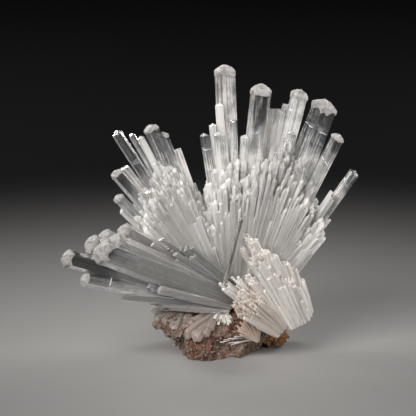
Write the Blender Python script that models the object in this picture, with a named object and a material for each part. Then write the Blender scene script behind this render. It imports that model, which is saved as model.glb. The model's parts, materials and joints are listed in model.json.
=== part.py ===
"""A scolecite specimen: four sprays of prisms grown on a small piece of rock.

Metres, +Z up. The origin is near the middle of the flat spot that it all rests on. X runs to
the right of the display side, Y runs away from it. Lengths below are in millimetres.
"""
import math
import random
from collections import namedtuple

import bmesh
import bpy
from mathutils import Matrix, Vector, noise

MM = 0.001

# How far the display side is looked down on, and the gap that touching pieces keep
DISPLAY_TILT_DEG = 12.0
CONTACT_GAP = 0.3

# The prism's outline for a width of one: a square whose two opposite corners are cut off
CORNER_CUT = 0.3
TIP_SHARE = 0.32
ROOT_SHARE = 0.8
DEPTH_SHARE = 0.86
ROLL_SPREAD_DEG = 24.0

# A block large enough to hold the whole specimen
WORLD_SIZE = 400.0

Single = namedtuple("Single", "right up depth width")
Lobe = namedtuple("Lobe", "focus start singles seed")
Plane = namedtuple("Plane", "point normal gap", defaults=(CONTACT_GAP,))
Lump = namedtuple("Lump", "centre radii")
Spray = namedtuple(
    "Spray",
    "name focus start singles reach leans pitches front_share back_share widths seed colour rough",
)

# Where two neighbours meet: a point on the contact and the side that the first of them is on
SPRAYS_OVER_ROCK = Plane((0.0, 0.0, 16.5), (0.0, 0.0, 1.0))
RIGHT_OF_LEFT = Plane((4.3, 0.0, 9.0), (0.844, 0.5, 0.193))
LEFT_OVER_LOWER = Plane((8.0, 0.0, 17.0), (0.564, 0.177, 0.806))
FAN_BEFORE_RIGHT = Plane((7.0, -13.0, 43.6), (0.26, -0.915, -0.31))
FAN_BESIDE_LEFT = Plane((1.5, -14.0, 20.0), (0.7, -0.714, 0.0))
FAN_OVER_ROCK = Plane((17.7, -14.0, 10.8), (0.35, -0.35, 0.87))
REST_PLANE = Plane((0.0, 0.0, 0.0), (0.0, 0.0, 1.0), 0.0)

# Each single crystal: its tip's place to the right, up and behind, and its width
RIGHT_SINGLES = (
    Single(0.8, 95.8, 8.0, 6.7),
    Single(-1.0, 83.2, 3.6, 2.9),
    Single(13.0, 89.0, -2.0, 6.7),
    Single(18.6, 82.0, 3.0, 4.6),
    Single(22.7, 83.3, 4.0, 4.2),
    Single(26.0, 87.3, 2.0, 5.7),
    Single(34.6, 83.8, 0.0, 7.3),
    Single(38.6, 72.5, -3.0, 4.2),
    Single(44.2, 60.7, -5.0, 3.5),
    Single(3.7, 77.7, -3.0, 2.6),
    Single(-0.7, 73.7, -3.5, 4.0),
    Single(-3.3, 76.3, 1.0, 2.2),
    Single(-6.0, 73.2, 0.0, 2.8),
    Single(7.6, 72.7, -2.0, 3.2),
    Single(18.2, 64.3, -9.0, 4.4),
    Single(27.0, 59.5, -10.0, 4.6),
    Single(36.6, 53.6, -8.0, 3.6),
    Single(38.4, 49.6, -3.0, 3.4),
)
LEFT_SINGLES = (
    Single(-35.2, 73.7, -6.0, 3.6),
    Single(-30.2, 73.0, -2.0, 2.2),
    Single(-27.2, 72.0, -5.0, 2.4),
    Single(-24.0, 75.6, -3.0, 4.6),
    Single(-19.9, 73.2, -1.0, 3.4),
    Single(-15.2, 68.0, 1.0, 3.2),
    Single(-35.4, 60.4, -9.0, 4.0),
    Single(-32.6, 62.0, -5.0, 3.2),
    Single(-35.0, 52.3, -6.0, 3.6),
    Single(-33.6, 48.6, -2.0, 3.6),
    Single(-22.0, 63.0, -12.0, 4.4),
    Single(-9.6, 55.4, 0.0, 3.2),
)
LOWER_SINGLES = (
    Single(-51.7, 32.5, -28.0, 5.7),
    Single(-45.9, 25.1, -26.0, 4.6),
    Single(-41.0, 35.0, -27.5, 8.4),
    Single(-37.2, 37.6, -24.5, 7.6),
    Single(-44.2, 37.2, -24.0, 6.6),
    Single(-40.2, 39.2, -19.5, 6.4),
    Single(-33.8, 41.6, -15.0, 5.6),
    Single(-22.5, 37.0, -19.0, 5.6),
    Single(-13.5, 35.5, -17.5, 5.0),
    Single(-24.0, 24.0, -21.0, 5.6),
    Single(-33.4, 19.4, -22.0, 2.6),
)
UPPER_LOBE_SINGLES = (
    Single(15.5, 25.0, -13.5, 9.0),
    Single(20.5, 25.0, -10.0, 8.0),
    Single(5.6, 36.2, -17.0, 2.4),
    Single(7.0, 40.0, -16.5, 2.8),
    Single(9.6, 38.4, -17.5, 3.2),
    Single(13.2, 34.8, -18.0, 3.4),
    Single(15.8, 33.4, -17.0, 3.8),
    Single(19.2, 30.6, -14.0, 4.2),
    Single(22.4, 28.4, -10.5, 4.4),
    Single(9.6, 32.0, -19.0, 3.2),
    Single(24.6, 24.6, -8.0, 4.8),
    Single(15.0, 27.0, -18.0, 4.0),
    Single(19.6, 24.0, -15.5, 4.4),
)
LOWER_LOBE_SINGLES = (
    Single(-0.8, 24.2, -17.5, 3.4),
    Single(9.0, 21.5, -15.5, 6.0),
    Single(3.4, 26.0, -18.5, 3.0),
    Single(8.2, 26.4, -19.0, 3.0),
    Single(5.6, 21.2, -19.5, 2.6),
    Single(7.4, 16.6, -19.5, 2.2),
    Single(6.8, 19.0, -20.0, 2.6),
)

# How far the shorter crystals of each spray reach from its focus, by their lean to the right
RIGHT_REACH = ((-12, 54), (-8, 66), (-3, 69), (3, 65), (10, 75), (17, 76), (24, 64), (38, 55))
LEFT_REACH = ((-49, 44), (-43, 53), (-36, 59), (-28, 65), (-22, 62), (-18, 46), (-12, 36))
LOWER_REACH = ((-84, 40), (-76, 52), (-66, 54), (-58, 48))

SPRAYS = (
    Spray(
        "right_spray", (4.7, 5.0, 3.0), 14.0, RIGHT_SINGLES, RIGHT_REACH,
        (-10.0, 36.0, 8), (-13.0, 30.0, 6), 0.94, 0.84, (5.0, 7.2), 11,
        (0.62, 0.61, 0.60, 1.0), 0.25,
    ),
    Spray(
        "left_spray", (4.3, 12.7, 1.0), 10.0, LEFT_SINGLES, LEFT_REACH,
        (-46.0, -15.0, 7), (-14.0, 34.0, 5), 0.84, 0.86, (4.0, 5.8), 23,
        (0.62, 0.61, 0.60, 1.0), 0.25,
    ),
    Spray(
        "lower_left_spray", (13.3, 14.0, -4.0), 12.0, LOWER_SINGLES, LOWER_REACH,
        (-80.0, -60.0, 4), (-15.0, 34.0, 6), 0.96, 0.80, (5.0, 6.6), 37,
        (0.50, 0.50, 0.50, 1.0), 0.22,
    ),
)

# The two lobes of the silky fan, each with the place that its crystals point away from
FAN_LOBES = (
    Lobe((37.2, -14.0, 4.3), 32.0, UPPER_LOBE_SINGLES, 41),
    Lobe((29.7, -1.0, -1.0), 16.5, LOWER_LOBE_SINGLES, 43),
)
FAN_COLOUR = (0.78, 0.75, 0.72, 1.0)
FAN_ROUGHNESS = 0.4

# The thin rod across the front, from its root to its tip
ROD = (Single(0.6, 22.8, -17.2, 1.3), Single(6.2, 44.9, -20.0, 1.3))

# How far the solid middle of a spray goes, as a share of its crystals' reach
CORE_SHARE = 0.62
CORE_START_SHARE = 0.5
CORE_CROWN = 1.05

ROCK_COLOUR = (0.36, 0.26, 0.20, 1.0)
ROCK_ROUGHNESS = 0.8
ROCK_LUMPS = (
    Lump((-5.0, -4.0, 4.0), (9.0, 9.5, 10.0)),
    Lump((-13.0, -3.0, 12.0), (11.0, 11.0, 7.0)),
    Lump((2.0, 2.0, 8.0), (15.0, 14.0, 13.0)),
    Lump((13.0, 7.0, 8.0), (10.0, 9.0, 10.0)),
    Lump((-4.0, 10.0, 7.0), (13.0, 10.0, 12.0)),
    Lump((9.0, -4.0, 10.0), (9.0, 8.0, 7.0)),
)
ROCK_SUBDIVISIONS = 2
ROCK_SEED = 5
ROCK_BUMP = 4.0
ROCK_BUMP_SIZE = 9.0
ROCK_JITTER = 1.5


def clear_scene():
    """Remove what the scene already holds."""
    for thing in list(bpy.data.objects):
        bpy.data.objects.remove(thing, do_unlink=True)


def on_display(right, up, depth):
    """The point in space whose place on the display side is known, with its depth behind."""
    tilt = math.radians(DISPLAY_TILT_DEG)
    height = (up - depth * math.sin(tilt)) / math.cos(tilt)
    return Vector((right, depth, height)) * MM


def heading(lean_deg, pitch_deg):
    """The unit direction that leans to the right and pitches to the back."""
    lean = math.radians(lean_deg)
    pitch = math.radians(pitch_deg)
    across = math.cos(pitch)
    return Vector((math.sin(lean) * across, math.sin(pitch), math.cos(lean) * across))


def read_off(table, place):
    """Read a value between the rows of a table of (place, value)."""
    if place <= table[0][0]:
        return table[0][1]
    for (before, low), (after, high) in zip(table, table[1:]):
        if place <= after:
            return low + (high - low) * (place - before) / (after - before)
    return table[-1][1]


def section_outline(width):
    """The prism's outline, six corners round its axis."""
    half = width / 2
    cut = width * CORNER_CUT
    deep = half * DEPTH_SHARE
    return (
        (-half, -deep),
        (half - cut, -deep),
        (half, -deep + cut),
        (half, deep),
        (-half + cut, deep),
        (-half, deep - cut),
    )


def axis_frame(root, tip, roll):
    """A frame with Z from root to tip and its X as level as it can be, then rolled."""
    along = (tip - root).normalized()
    side = along.cross(Vector((0.0, 1.0, 0.0))).normalized()
    back = along.cross(side).normalized()
    turn = Matrix((side, -back, along)).transposed().to_4x4()
    return Matrix.Translation(root) @ turn @ Matrix.Rotation(roll, 4, "Z")


def crystal_mesh(root, tip, width, roll, draw):
    """One closed prism with a low, uneven pyramid at its tip and a narrower root."""
    length = (tip - root).length
    shoulder = length - width * TIP_SHARE
    levels = ((0.0, ROOT_SHARE), (shoulder * 0.5, 1.0), (shoulder, 1.0))
    shape = bmesh.new()
    rings = []
    for height, share in levels:
        corners = section_outline(width * share)
        rings.append([shape.verts.new((x, y, height)) for x, y in corners])
    for corner in rings[-1]:
        corner.co.z -= width * TIP_SHARE * draw.uniform(0.0, 0.5)
    peak = (draw.uniform(-0.2, 0.2) * width, draw.uniform(-0.2, 0.2) * width, length)
    apex = shape.verts.new(peak)
    for lower, upper in zip(rings, rings[1:]):
        for index, corner in enumerate(lower):
            following = (index + 1) % len(lower)
            shape.faces.new((corner, lower[following], upper[following], upper[index]))
    shape.faces.new(list(reversed(rings[0])))
    crown = rings[-1]
    for index, corner in enumerate(crown):
        shape.faces.new((corner, crown[(index + 1) % len(crown)], apex))
    bmesh.ops.transform(shape, matrix=axis_frame(root, tip, roll), verts=shape.verts)
    bmesh.ops.recalc_face_normals(shape, faces=shape.faces)
    return finished_mesh(shape, "crystal")


def finished_mesh(shape, name):
    """Turn a bmesh into mesh data."""
    mesh = bpy.data.meshes.new(name)
    shape.to_mesh(mesh)
    shape.free()
    return mesh


def single_lines(lobe, draw):
    """Root, tip, width and roll of every single crystal of a lobe or a spray."""
    focus = on_display(*lobe.focus)
    lines = []
    for single in lobe.singles:
        tip = on_display(single.right, single.up, single.depth)
        root = focus + (tip - focus).normalized() * lobe.start * MM
        lines.append((root, tip, single.width * MM, draw.uniform(-0.3, 0.3)))
    return lines


def filler_lines(spray, draw):
    """Root, tip, width and roll of the shorter crystals that fill a spray."""
    focus = on_display(*spray.focus)
    lines = []
    first_lean, last_lean, lean_count = spray.leans
    first_pitch, last_pitch, pitch_count = spray.pitches
    lean_step = (last_lean - first_lean) / (lean_count - 1)
    pitch_step = (last_pitch - first_pitch) / (pitch_count - 1)
    for row in range(pitch_count):
        for column in range(lean_count):
            lean = first_lean + lean_step * (column + draw.uniform(-0.35, 0.35))
            pitch = first_pitch + pitch_step * (row + draw.uniform(-0.3, 0.3))
            share = spray.front_share if pitch < 0.0 else spray.back_share
            edge = abs(pitch) / max(abs(first_pitch), abs(last_pitch))
            reach = read_off(spray.reach, lean) * (1.0 - (1.0 - share) * edge)
            reach *= draw.uniform(0.8, 1.0)
            way = heading(lean, pitch)
            width = draw.uniform(*spray.widths) * MM
            roll = math.radians(draw.uniform(-ROLL_SPREAD_DEG, ROLL_SPREAD_DEG))
            root = focus + way * spray.start * MM
            lines.append((root, focus + way * reach * MM, width, roll))
    return lines


def core_mesh(spray):
    """A solid cone of flat sides that fills the middle of a spray, below its crystals' tips."""
    focus = on_display(*spray.focus)
    first_lean, last_lean, _ = spray.leans
    first_pitch, last_pitch, _ = spray.pitches
    middle = heading((first_lean + last_lean) / 2, (first_pitch + last_pitch) / 2)
    edges = []
    for lean, pitch in (
        (first_lean, (first_pitch + last_pitch) / 2),
        (first_lean * 0.7 + last_lean * 0.3, first_pitch),
        (first_lean * 0.3 + last_lean * 0.7, first_pitch),
        (last_lean, (first_pitch + last_pitch) / 2),
        (first_lean * 0.3 + last_lean * 0.7, last_pitch),
        (first_lean * 0.7 + last_lean * 0.3, last_pitch),
    ):
        edges.append((heading(lean, pitch), read_off(spray.reach, lean) * CORE_SHARE))
    shape = bmesh.new()
    bottom = [shape.verts.new(focus + way * spray.start * CORE_START_SHARE * MM) for way, _ in edges]
    top = [shape.verts.new(focus + way * reach * MM) for way, reach in edges]
    longest = max(reach for _, reach in edges)
    apex = shape.verts.new(focus + middle * longest * CORE_CROWN * MM)
    shape.faces.new(list(reversed(bottom)))
    for index, corner in enumerate(bottom):
        following = (index + 1) % len(bottom)
        shape.faces.new((corner, bottom[following], top[following], top[index]))
        shape.faces.new((top[index], top[following], apex))
    bmesh.ops.triangulate(shape, faces=shape.faces)
    bmesh.ops.recalc_face_normals(shape, faces=shape.faces)
    return finished_mesh(shape, "core")


def growth_space(planes):
    """The block of space that a piece may fill: everything on the kept side of its contacts."""
    shape = bmesh.new()
    bmesh.ops.create_cube(shape, size=WORLD_SIZE * MM)
    for plane, side in planes:
        normal = Vector(plane.normal).normalized() * side
        point = Vector(plane.point) * MM + normal * plane.gap * MM / 2
        cut = bmesh.ops.bisect_plane(
            shape,
            geom=shape.verts[:] + shape.edges[:] + shape.faces[:],
            plane_co=point,
            plane_no=normal,
            clear_inner=True,
        )
        rim = [item for item in cut["geom_cut"] if isinstance(item, bmesh.types.BMEdge)]
        bmesh.ops.edgeloop_fill(shape, edges=rim)
    bmesh.ops.recalc_face_normals(shape, faces=shape.faces)
    return finished_mesh(shape, "space")


def placed(mesh, name):
    """Put mesh data into the scene as an object."""
    thing = bpy.data.objects.new(name, mesh)
    bpy.context.scene.collection.objects.link(thing)
    return thing


def combined(base, others, operation):
    """Apply one Boolean between a mesh and several others, and return the new mesh."""
    body = placed(base, "body")
    group = bpy.data.collections.new("cutters")
    bpy.context.scene.collection.children.link(group)
    for other in others:
        cutter = bpy.data.objects.new("cutter", other)
        cutter.hide_render = True
        cutter.display_type = "WIRE"
        group.objects.link(cutter)
    change = body.modifiers.new("change", "BOOLEAN")
    change.operation = operation
    change.solver = "EXACT"
    change.operand_type = "COLLECTION"
    change.collection = group
    change.use_self = True
    sight = bpy.context.evaluated_depsgraph_get()
    result = bpy.data.meshes.new_from_object(body.evaluated_get(sight))
    for cutter in list(group.objects):
        bpy.data.objects.remove(cutter, do_unlink=True)
    bpy.data.collections.remove(group)
    bpy.data.objects.remove(body, do_unlink=True)
    return result


def shell_volume(faces):
    """The signed volume that a shell of triangles encloses."""
    total = 0.0
    for face in faces:
        first, second, third = (corner.co for corner in face.verts)
        total += first.dot(second.cross(third)) / 6
    return total


def connected_shells(shape):
    """The faces of each shell that hangs together by its edges."""
    waiting = set(shape.faces)
    shells = []
    while waiting:
        shell = []
        border = [waiting.pop()]
        while border:
            face = border.pop()
            shell.append(face)
            for edge in face.edges:
                for neighbour in edge.link_faces:
                    if neighbour in waiting:
                        waiting.remove(neighbour)
                        border.append(neighbour)
        shells.append(shell)
    return shells


def keep_main_shell(mesh):
    """Keep the outer skin alone: no closed pockets inside it and no loose splinters."""
    shape = bmesh.new()
    shape.from_mesh(mesh)
    bmesh.ops.triangulate(shape, faces=shape.faces)
    shells = connected_shells(shape)
    main = max(shells, key=shell_volume)
    for shell in shells:
        if shell is not main:
            bmesh.ops.delete(shape, geom=shell, context="FACES")
    shape.to_mesh(mesh)
    shape.free()


def surface(name, colour, roughness):
    """A plain material of one colour."""
    material = bpy.data.materials.new(name)
    material.use_nodes = True
    shader = material.node_tree.nodes["Principled BSDF"]
    shader.inputs["Base Color"].default_value = colour
    shader.inputs["Roughness"].default_value = roughness
    shader.inputs["Metallic"].default_value = 0.0
    material.diffuse_color = colour
    return material


def finish_piece(mesh, name, colour, roughness):
    """Name a finished mesh, place it and give it its material."""
    keep_main_shell(mesh)
    mesh.name = name
    mesh.materials.clear()
    mesh.materials.append(surface(name, colour, roughness))
    placed(mesh, name)


def grow_together(first, others, planes):
    """Join overlapping crystals in one solid that stops at its neighbours."""
    grown = combined(first, others, "UNION")
    keep_main_shell(grown)
    return combined(grown, [growth_space(planes)], "INTERSECT")


def make_spray(spray, planes):
    """Grow one spray's crystals together, and stop them at the neighbours."""
    draw = random.Random(spray.seed)
    lines = single_lines(spray, draw) + filler_lines(spray, draw)
    crystals = [crystal_mesh(*line, draw) for line in lines]
    grown = grow_together(core_mesh(spray), crystals, planes)
    finish_piece(grown, spray.name, spray.colour, spray.rough)


def make_fan(planes):
    """Grow the two lobes of the silky fan and the thin rod together."""
    crystals = []
    for lobe in FAN_LOBES:
        draw = random.Random(lobe.seed)
        crystals += [crystal_mesh(*line, draw) for line in single_lines(lobe, draw)]
    root, tip = (on_display(*end[:3]) for end in ROD)
    crystals.append(crystal_mesh(root, tip, ROD[1].width * MM, 0.0, draw))
    first, *others = crystals
    finish_piece(grow_together(first, others, planes), "front_fan", FAN_COLOUR, FAN_ROUGHNESS)


def lump_mesh(lump, draw):
    """One rough, broken lump of rock."""
    shape = bmesh.new()
    bmesh.ops.create_icosphere(shape, subdivisions=ROCK_SUBDIVISIONS, radius=1.0)
    centre = Vector(lump.centre)
    radii = Vector(lump.radii)
    for corner in shape.verts:
        outward = corner.co.copy()
        place = centre + outward * radii
        bump = noise.noise(place / ROCK_BUMP_SIZE) * ROCK_BUMP
        jitter = Vector([draw.uniform(-ROCK_JITTER, ROCK_JITTER) for _ in range(3)])
        corner.co = (place + outward * bump + jitter) * MM
    return finished_mesh(shape, "lump")


def make_matrix(planes):
    """The rock under the sprays, with the flat spot that it rests on."""
    draw = random.Random(ROCK_SEED)
    first, *others = [lump_mesh(lump, draw) for lump in ROCK_LUMPS]
    finish_piece(grow_together(first, others, planes), "matrix", ROCK_COLOUR, ROCK_ROUGHNESS)


def main():
    """Build every piece of the specimen."""
    clear_scene()
    contacts = {
        "right_spray": ((SPRAYS_OVER_ROCK, 1), (RIGHT_OF_LEFT, 1), (FAN_BEFORE_RIGHT, -1)),
        "left_spray": (
            (SPRAYS_OVER_ROCK, 1), (RIGHT_OF_LEFT, -1), (LEFT_OVER_LOWER, 1), (FAN_BESIDE_LEFT, -1),
        ),
        "lower_left_spray": (
            (SPRAYS_OVER_ROCK, 1), (RIGHT_OF_LEFT, -1), (LEFT_OVER_LOWER, -1), (FAN_BESIDE_LEFT, -1),
        ),
    }
    for spray in SPRAYS:
        make_spray(spray, contacts[spray.name])
    make_fan(((FAN_BEFORE_RIGHT, 1), (FAN_BESIDE_LEFT, 1), (FAN_OVER_ROCK, 1)))
    make_matrix(((REST_PLANE, 1), (SPRAYS_OVER_ROCK, -1), (FAN_OVER_ROCK, -1)))


main()
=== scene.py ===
"""A dressed scolecite specimen: sprays of clear to milky prisms on iron-stained rock.

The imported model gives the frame. Each spray keeps the prisms of its solid, with striated sides,
frosted crusts and inner cracks, and gets hundreds of finer prisms between them. Lengths are in
millimetres until they are turned into a mesh, which is in metres.
"""
import json
import logging
import math
import random
from dataclasses import dataclass, field
from enum import Enum

import bpy
from mathutils import Matrix, Vector, noise

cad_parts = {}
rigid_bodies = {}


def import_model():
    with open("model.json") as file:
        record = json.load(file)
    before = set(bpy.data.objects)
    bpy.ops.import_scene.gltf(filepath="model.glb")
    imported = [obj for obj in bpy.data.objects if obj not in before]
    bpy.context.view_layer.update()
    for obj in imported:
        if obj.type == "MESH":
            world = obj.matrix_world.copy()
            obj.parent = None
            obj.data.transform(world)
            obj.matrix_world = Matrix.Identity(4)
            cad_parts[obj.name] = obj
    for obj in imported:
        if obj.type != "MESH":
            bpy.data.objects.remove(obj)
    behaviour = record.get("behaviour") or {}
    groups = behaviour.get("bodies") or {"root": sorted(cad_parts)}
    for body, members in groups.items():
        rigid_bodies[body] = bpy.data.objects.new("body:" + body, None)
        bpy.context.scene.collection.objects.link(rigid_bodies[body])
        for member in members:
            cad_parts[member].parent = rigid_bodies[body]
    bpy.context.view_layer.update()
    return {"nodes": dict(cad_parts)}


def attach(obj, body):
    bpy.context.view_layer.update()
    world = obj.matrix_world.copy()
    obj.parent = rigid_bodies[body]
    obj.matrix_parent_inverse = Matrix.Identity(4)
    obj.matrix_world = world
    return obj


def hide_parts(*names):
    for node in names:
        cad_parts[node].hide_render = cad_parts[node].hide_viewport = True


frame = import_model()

MM = 0.001
BODY = "root"
LOG = logging.getLogger("specimen")

Pair = tuple[float, float]
Point = tuple[float, float, float]
Colour = tuple[float, float, float, float]
Table = tuple[Pair, ...]
Ring = list[Vector]
Socket = bpy.types.NodeSocket


class Slot(Enum):
    """The record's material slots."""

    CLEAR = "clear_crystal"
    SILKY = "silky_crystal"
    ROCK = "matrix"


class Tip(Enum):
    """How a prism ends."""

    POINT = "low pyramid"
    CRUST = "frosted crust over the end"
    BROKEN = "slanting break"


@dataclass(frozen=True)
class Display:
    """The display side: how far it is looked down on, and where its middle is."""

    tilt_deg: float = 12.0
    middle_right: float = -4.67
    middle_up: float = 48.3
    frame_width: float = 138.67

    def place(self, right: float, up: float, depth: float) -> Vector:
        """Find the point with a known place on the display side.

        Args:
            right: distance to the right of the origin.
            up: distance above the origin as seen on the display side.
            depth: distance behind the origin.

        Returns:
            The point in space, in millimetres.
        """
        tilt = math.radians(self.tilt_deg)
        return Vector((right, depth, (up - depth * math.sin(tilt)) / math.cos(tilt)))


DISPLAY = Display()


def heading(lean_deg: float, pitch_deg: float) -> Vector:
    """Give a direction.

    Args:
        lean_deg: lean to the right, from upright.
        pitch_deg: pitch to the back.

    Returns:
        The unit direction.
    """
    lean = math.radians(lean_deg)
    pitch = math.radians(pitch_deg)
    across = math.cos(pitch)
    return Vector((math.sin(lean) * across, math.sin(pitch), math.cos(lean) * across))


def read_off(table: Table, place: float) -> float:
    """Read a value between the rows of a table.

    Args:
        table: rows of place and value, in order of place.
        place: where to read.

    Returns:
        The value there.
    """
    if place <= table[0][0]:
        return table[0][1]
    for (before, low), (after, high) in zip(table, table[1:]):
        if place <= after:
            return low + (high - low) * (place - before) / (after - before)
    return table[-1][1]


def walk_round(corners: list[Pair], count: int) -> list[Pair]:
    """Set points out evenly round an outline.

    Args:
        corners: the outline's corners.
        count: how many points there are.

    Returns:
        The points.
    """
    points = []
    for index in range(count):
        place = index / count * len(corners)
        corner = int(place)
        share = place - corner
        x, y = corners[corner]
        ahead_x, ahead_y = corners[(corner + 1) % len(corners)]
        points.append((x + (ahead_x - x) * share, y + (ahead_y - y) * share))
    return points


def smooth(value: float) -> float:
    """Ease a value between 0 and 1."""
    held = min(1.0, max(0.0, value))
    return held * held * (3.0 - 2.0 * held)


class MeshDraft:
    """Points, faces, a UV map and the clarity of a mesh in the making."""

    def __init__(self) -> None:
        """Start empty."""
        self.points: list[Vector] = []
        self.faces: list[tuple[int, ...]] = []
        self.clarity: list[float] = []
        self.uvs: list[Pair] = []

    def add_rings(
        self, rings: list[Ring], clarity: list[float], spots: list[list[Pair]]
    ) -> None:
        """Add a closed body from rings of points, from its root to its tip.

        Args:
            rings: equal rings, each running anticlockwise as seen from the tip.
            clarity: how clear each ring is.
            spots: the place of each point on the UV map.
        """
        base = len(self.points)
        count = len(rings[0])
        for ring, clear, marks in zip(rings, clarity, spots):
            self.points.extend(ring)
            self.clarity.extend([clear] * count)
            self.uvs.extend(marks)
        for level in range(len(rings) - 1):
            low = base + level * count
            high = low + count
            for index in range(count):
                following = (index + 1) % count
                self.faces.append((low + index, low + following, high + following, high + index))
        self.faces.append(tuple(base + index for index in reversed(range(count))))
        last = base + (len(rings) - 1) * count
        self.faces.append(tuple(last + index for index in range(count)))

    def to_object(self, name: str, finish: "Finish") -> bpy.types.Object:
        """Turn the draft into an object.

        Args:
            name: the object's name.
            finish: what it is dressed with.

        Returns:
            The object, linked to the scene, in metres.
        """
        mesh = bpy.data.meshes.new(name)
        mesh.from_pydata([tuple(point * MM) for point in self.points], [], self.faces)
        layer = mesh.uv_layers.new(name="UVMap")
        corners = [0] * len(mesh.loops)
        mesh.loops.foreach_get("vertex_index", corners)
        layer.uv.foreach_set("vector", [value for corner in corners for value in self.uvs[corner]])
        clear = mesh.attributes.new("clarity", "FLOAT", "POINT")
        clear.data.foreach_set("value", self.clarity)
        mesh.materials.append(finish.material())
        mesh.update()
        return link(bpy.data.objects.new(name, mesh))


def link(thing: bpy.types.Object) -> bpy.types.Object:
    """Link an object to the scene and hand it back."""
    bpy.context.scene.collection.objects.link(thing)
    return thing


def declare(piece: bpy.types.Object, slot: Slot, *nodes: str) -> None:
    """Attach a piece to the body and hide the solids that it stands for.

    Args:
        piece: the finished piece.
        slot: the record's material slot; not used.
        nodes: the solids that it stands for.
    """
    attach(piece, BODY)
    if nodes:
        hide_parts(*nodes)
    LOG.info("%s: %d faces", piece.name, len(piece.data.polygons))


class NodeWork:
    """A short way to place nodes in a tree and to link them."""

    def __init__(self, tree: bpy.types.NodeTree) -> None:
        """Work on one tree."""
        self.tree = tree

    def add(self, kind: str, inputs: dict | None = None, **settings: object) -> bpy.types.Node:
        """Place a node.

        Args:
            kind: the node's type.
            inputs: values or sockets for its inputs, by name or number.
            settings: values of its own properties.

        Returns:
            The node.
        """
        node = self.tree.nodes.new(kind)
        for name, value in settings.items():
            setattr(node, name, value)
        for key, value in (inputs or {}).items():
            self.feed(node.inputs[key], value)
        return node

    def feed(self, socket: Socket, value: object) -> None:
        """Give an input its value.

        Args:
            socket: the input.
            value: a socket to link to it, or a value to set on it.
        """
        if isinstance(value, Socket):
            self.tree.links.new(value, socket)
        else:
            socket.default_value = value

    def maths(self, operation: str, *values: object) -> Socket:
        """Work out a number from others."""
        inputs = dict(enumerate(values))
        return self.add("ShaderNodeMath", inputs, operation=operation).outputs[0]

    def vector_maths(self, operation: str, *values: object) -> Socket:
        """Work out a vector from others."""
        node = self.add("ShaderNodeVectorMath", dict(enumerate(values)), operation=operation)
        return node.outputs[0]

    def fit(
        self, value: object, low: object, high: object, to_low: object, to_high: object
    ) -> Socket:
        """Move a value from one range to another, held to its ends."""
        inputs = {0: value, 1: low, 2: high, 3: to_low, 4: to_high}
        return self.add("ShaderNodeMapRange", inputs).outputs[0]


@dataclass(frozen=True)
class Finish:
    """A surface finish with a name of its own."""

    name: str

    def material(self) -> bpy.types.Material:
        """Give this finish's material.

        Returns:
            The material, made the first time that it is asked for.
        """
        known = bpy.data.materials.get(self.name)
        if known:
            return known
        material = bpy.data.materials.new(self.name)
        material.use_nodes = True
        work = NodeWork(material.node_tree)
        self.dress(work, material.node_tree.nodes["Principled BSDF"])
        return material

    def dress(self, work: NodeWork, shader: bpy.types.Node) -> None:
        """Set up the shader; each kind of finish has its own way."""
        raise NotImplementedError


def blend_colours(work: NodeWork, share: object, first: object, second: object) -> Socket:
    """Mix two colours.

    Args:
        work: the tree.
        share: how much of the second colour there is.
        first: a colour or its socket.
        second: a colour or its socket.

    Returns:
        The mixed colour's socket.
    """
    node = work.add("ShaderNodeMix", {0: share, 6: first, 7: second}, data_type="RGBA")
    return node.outputs[2]


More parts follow.
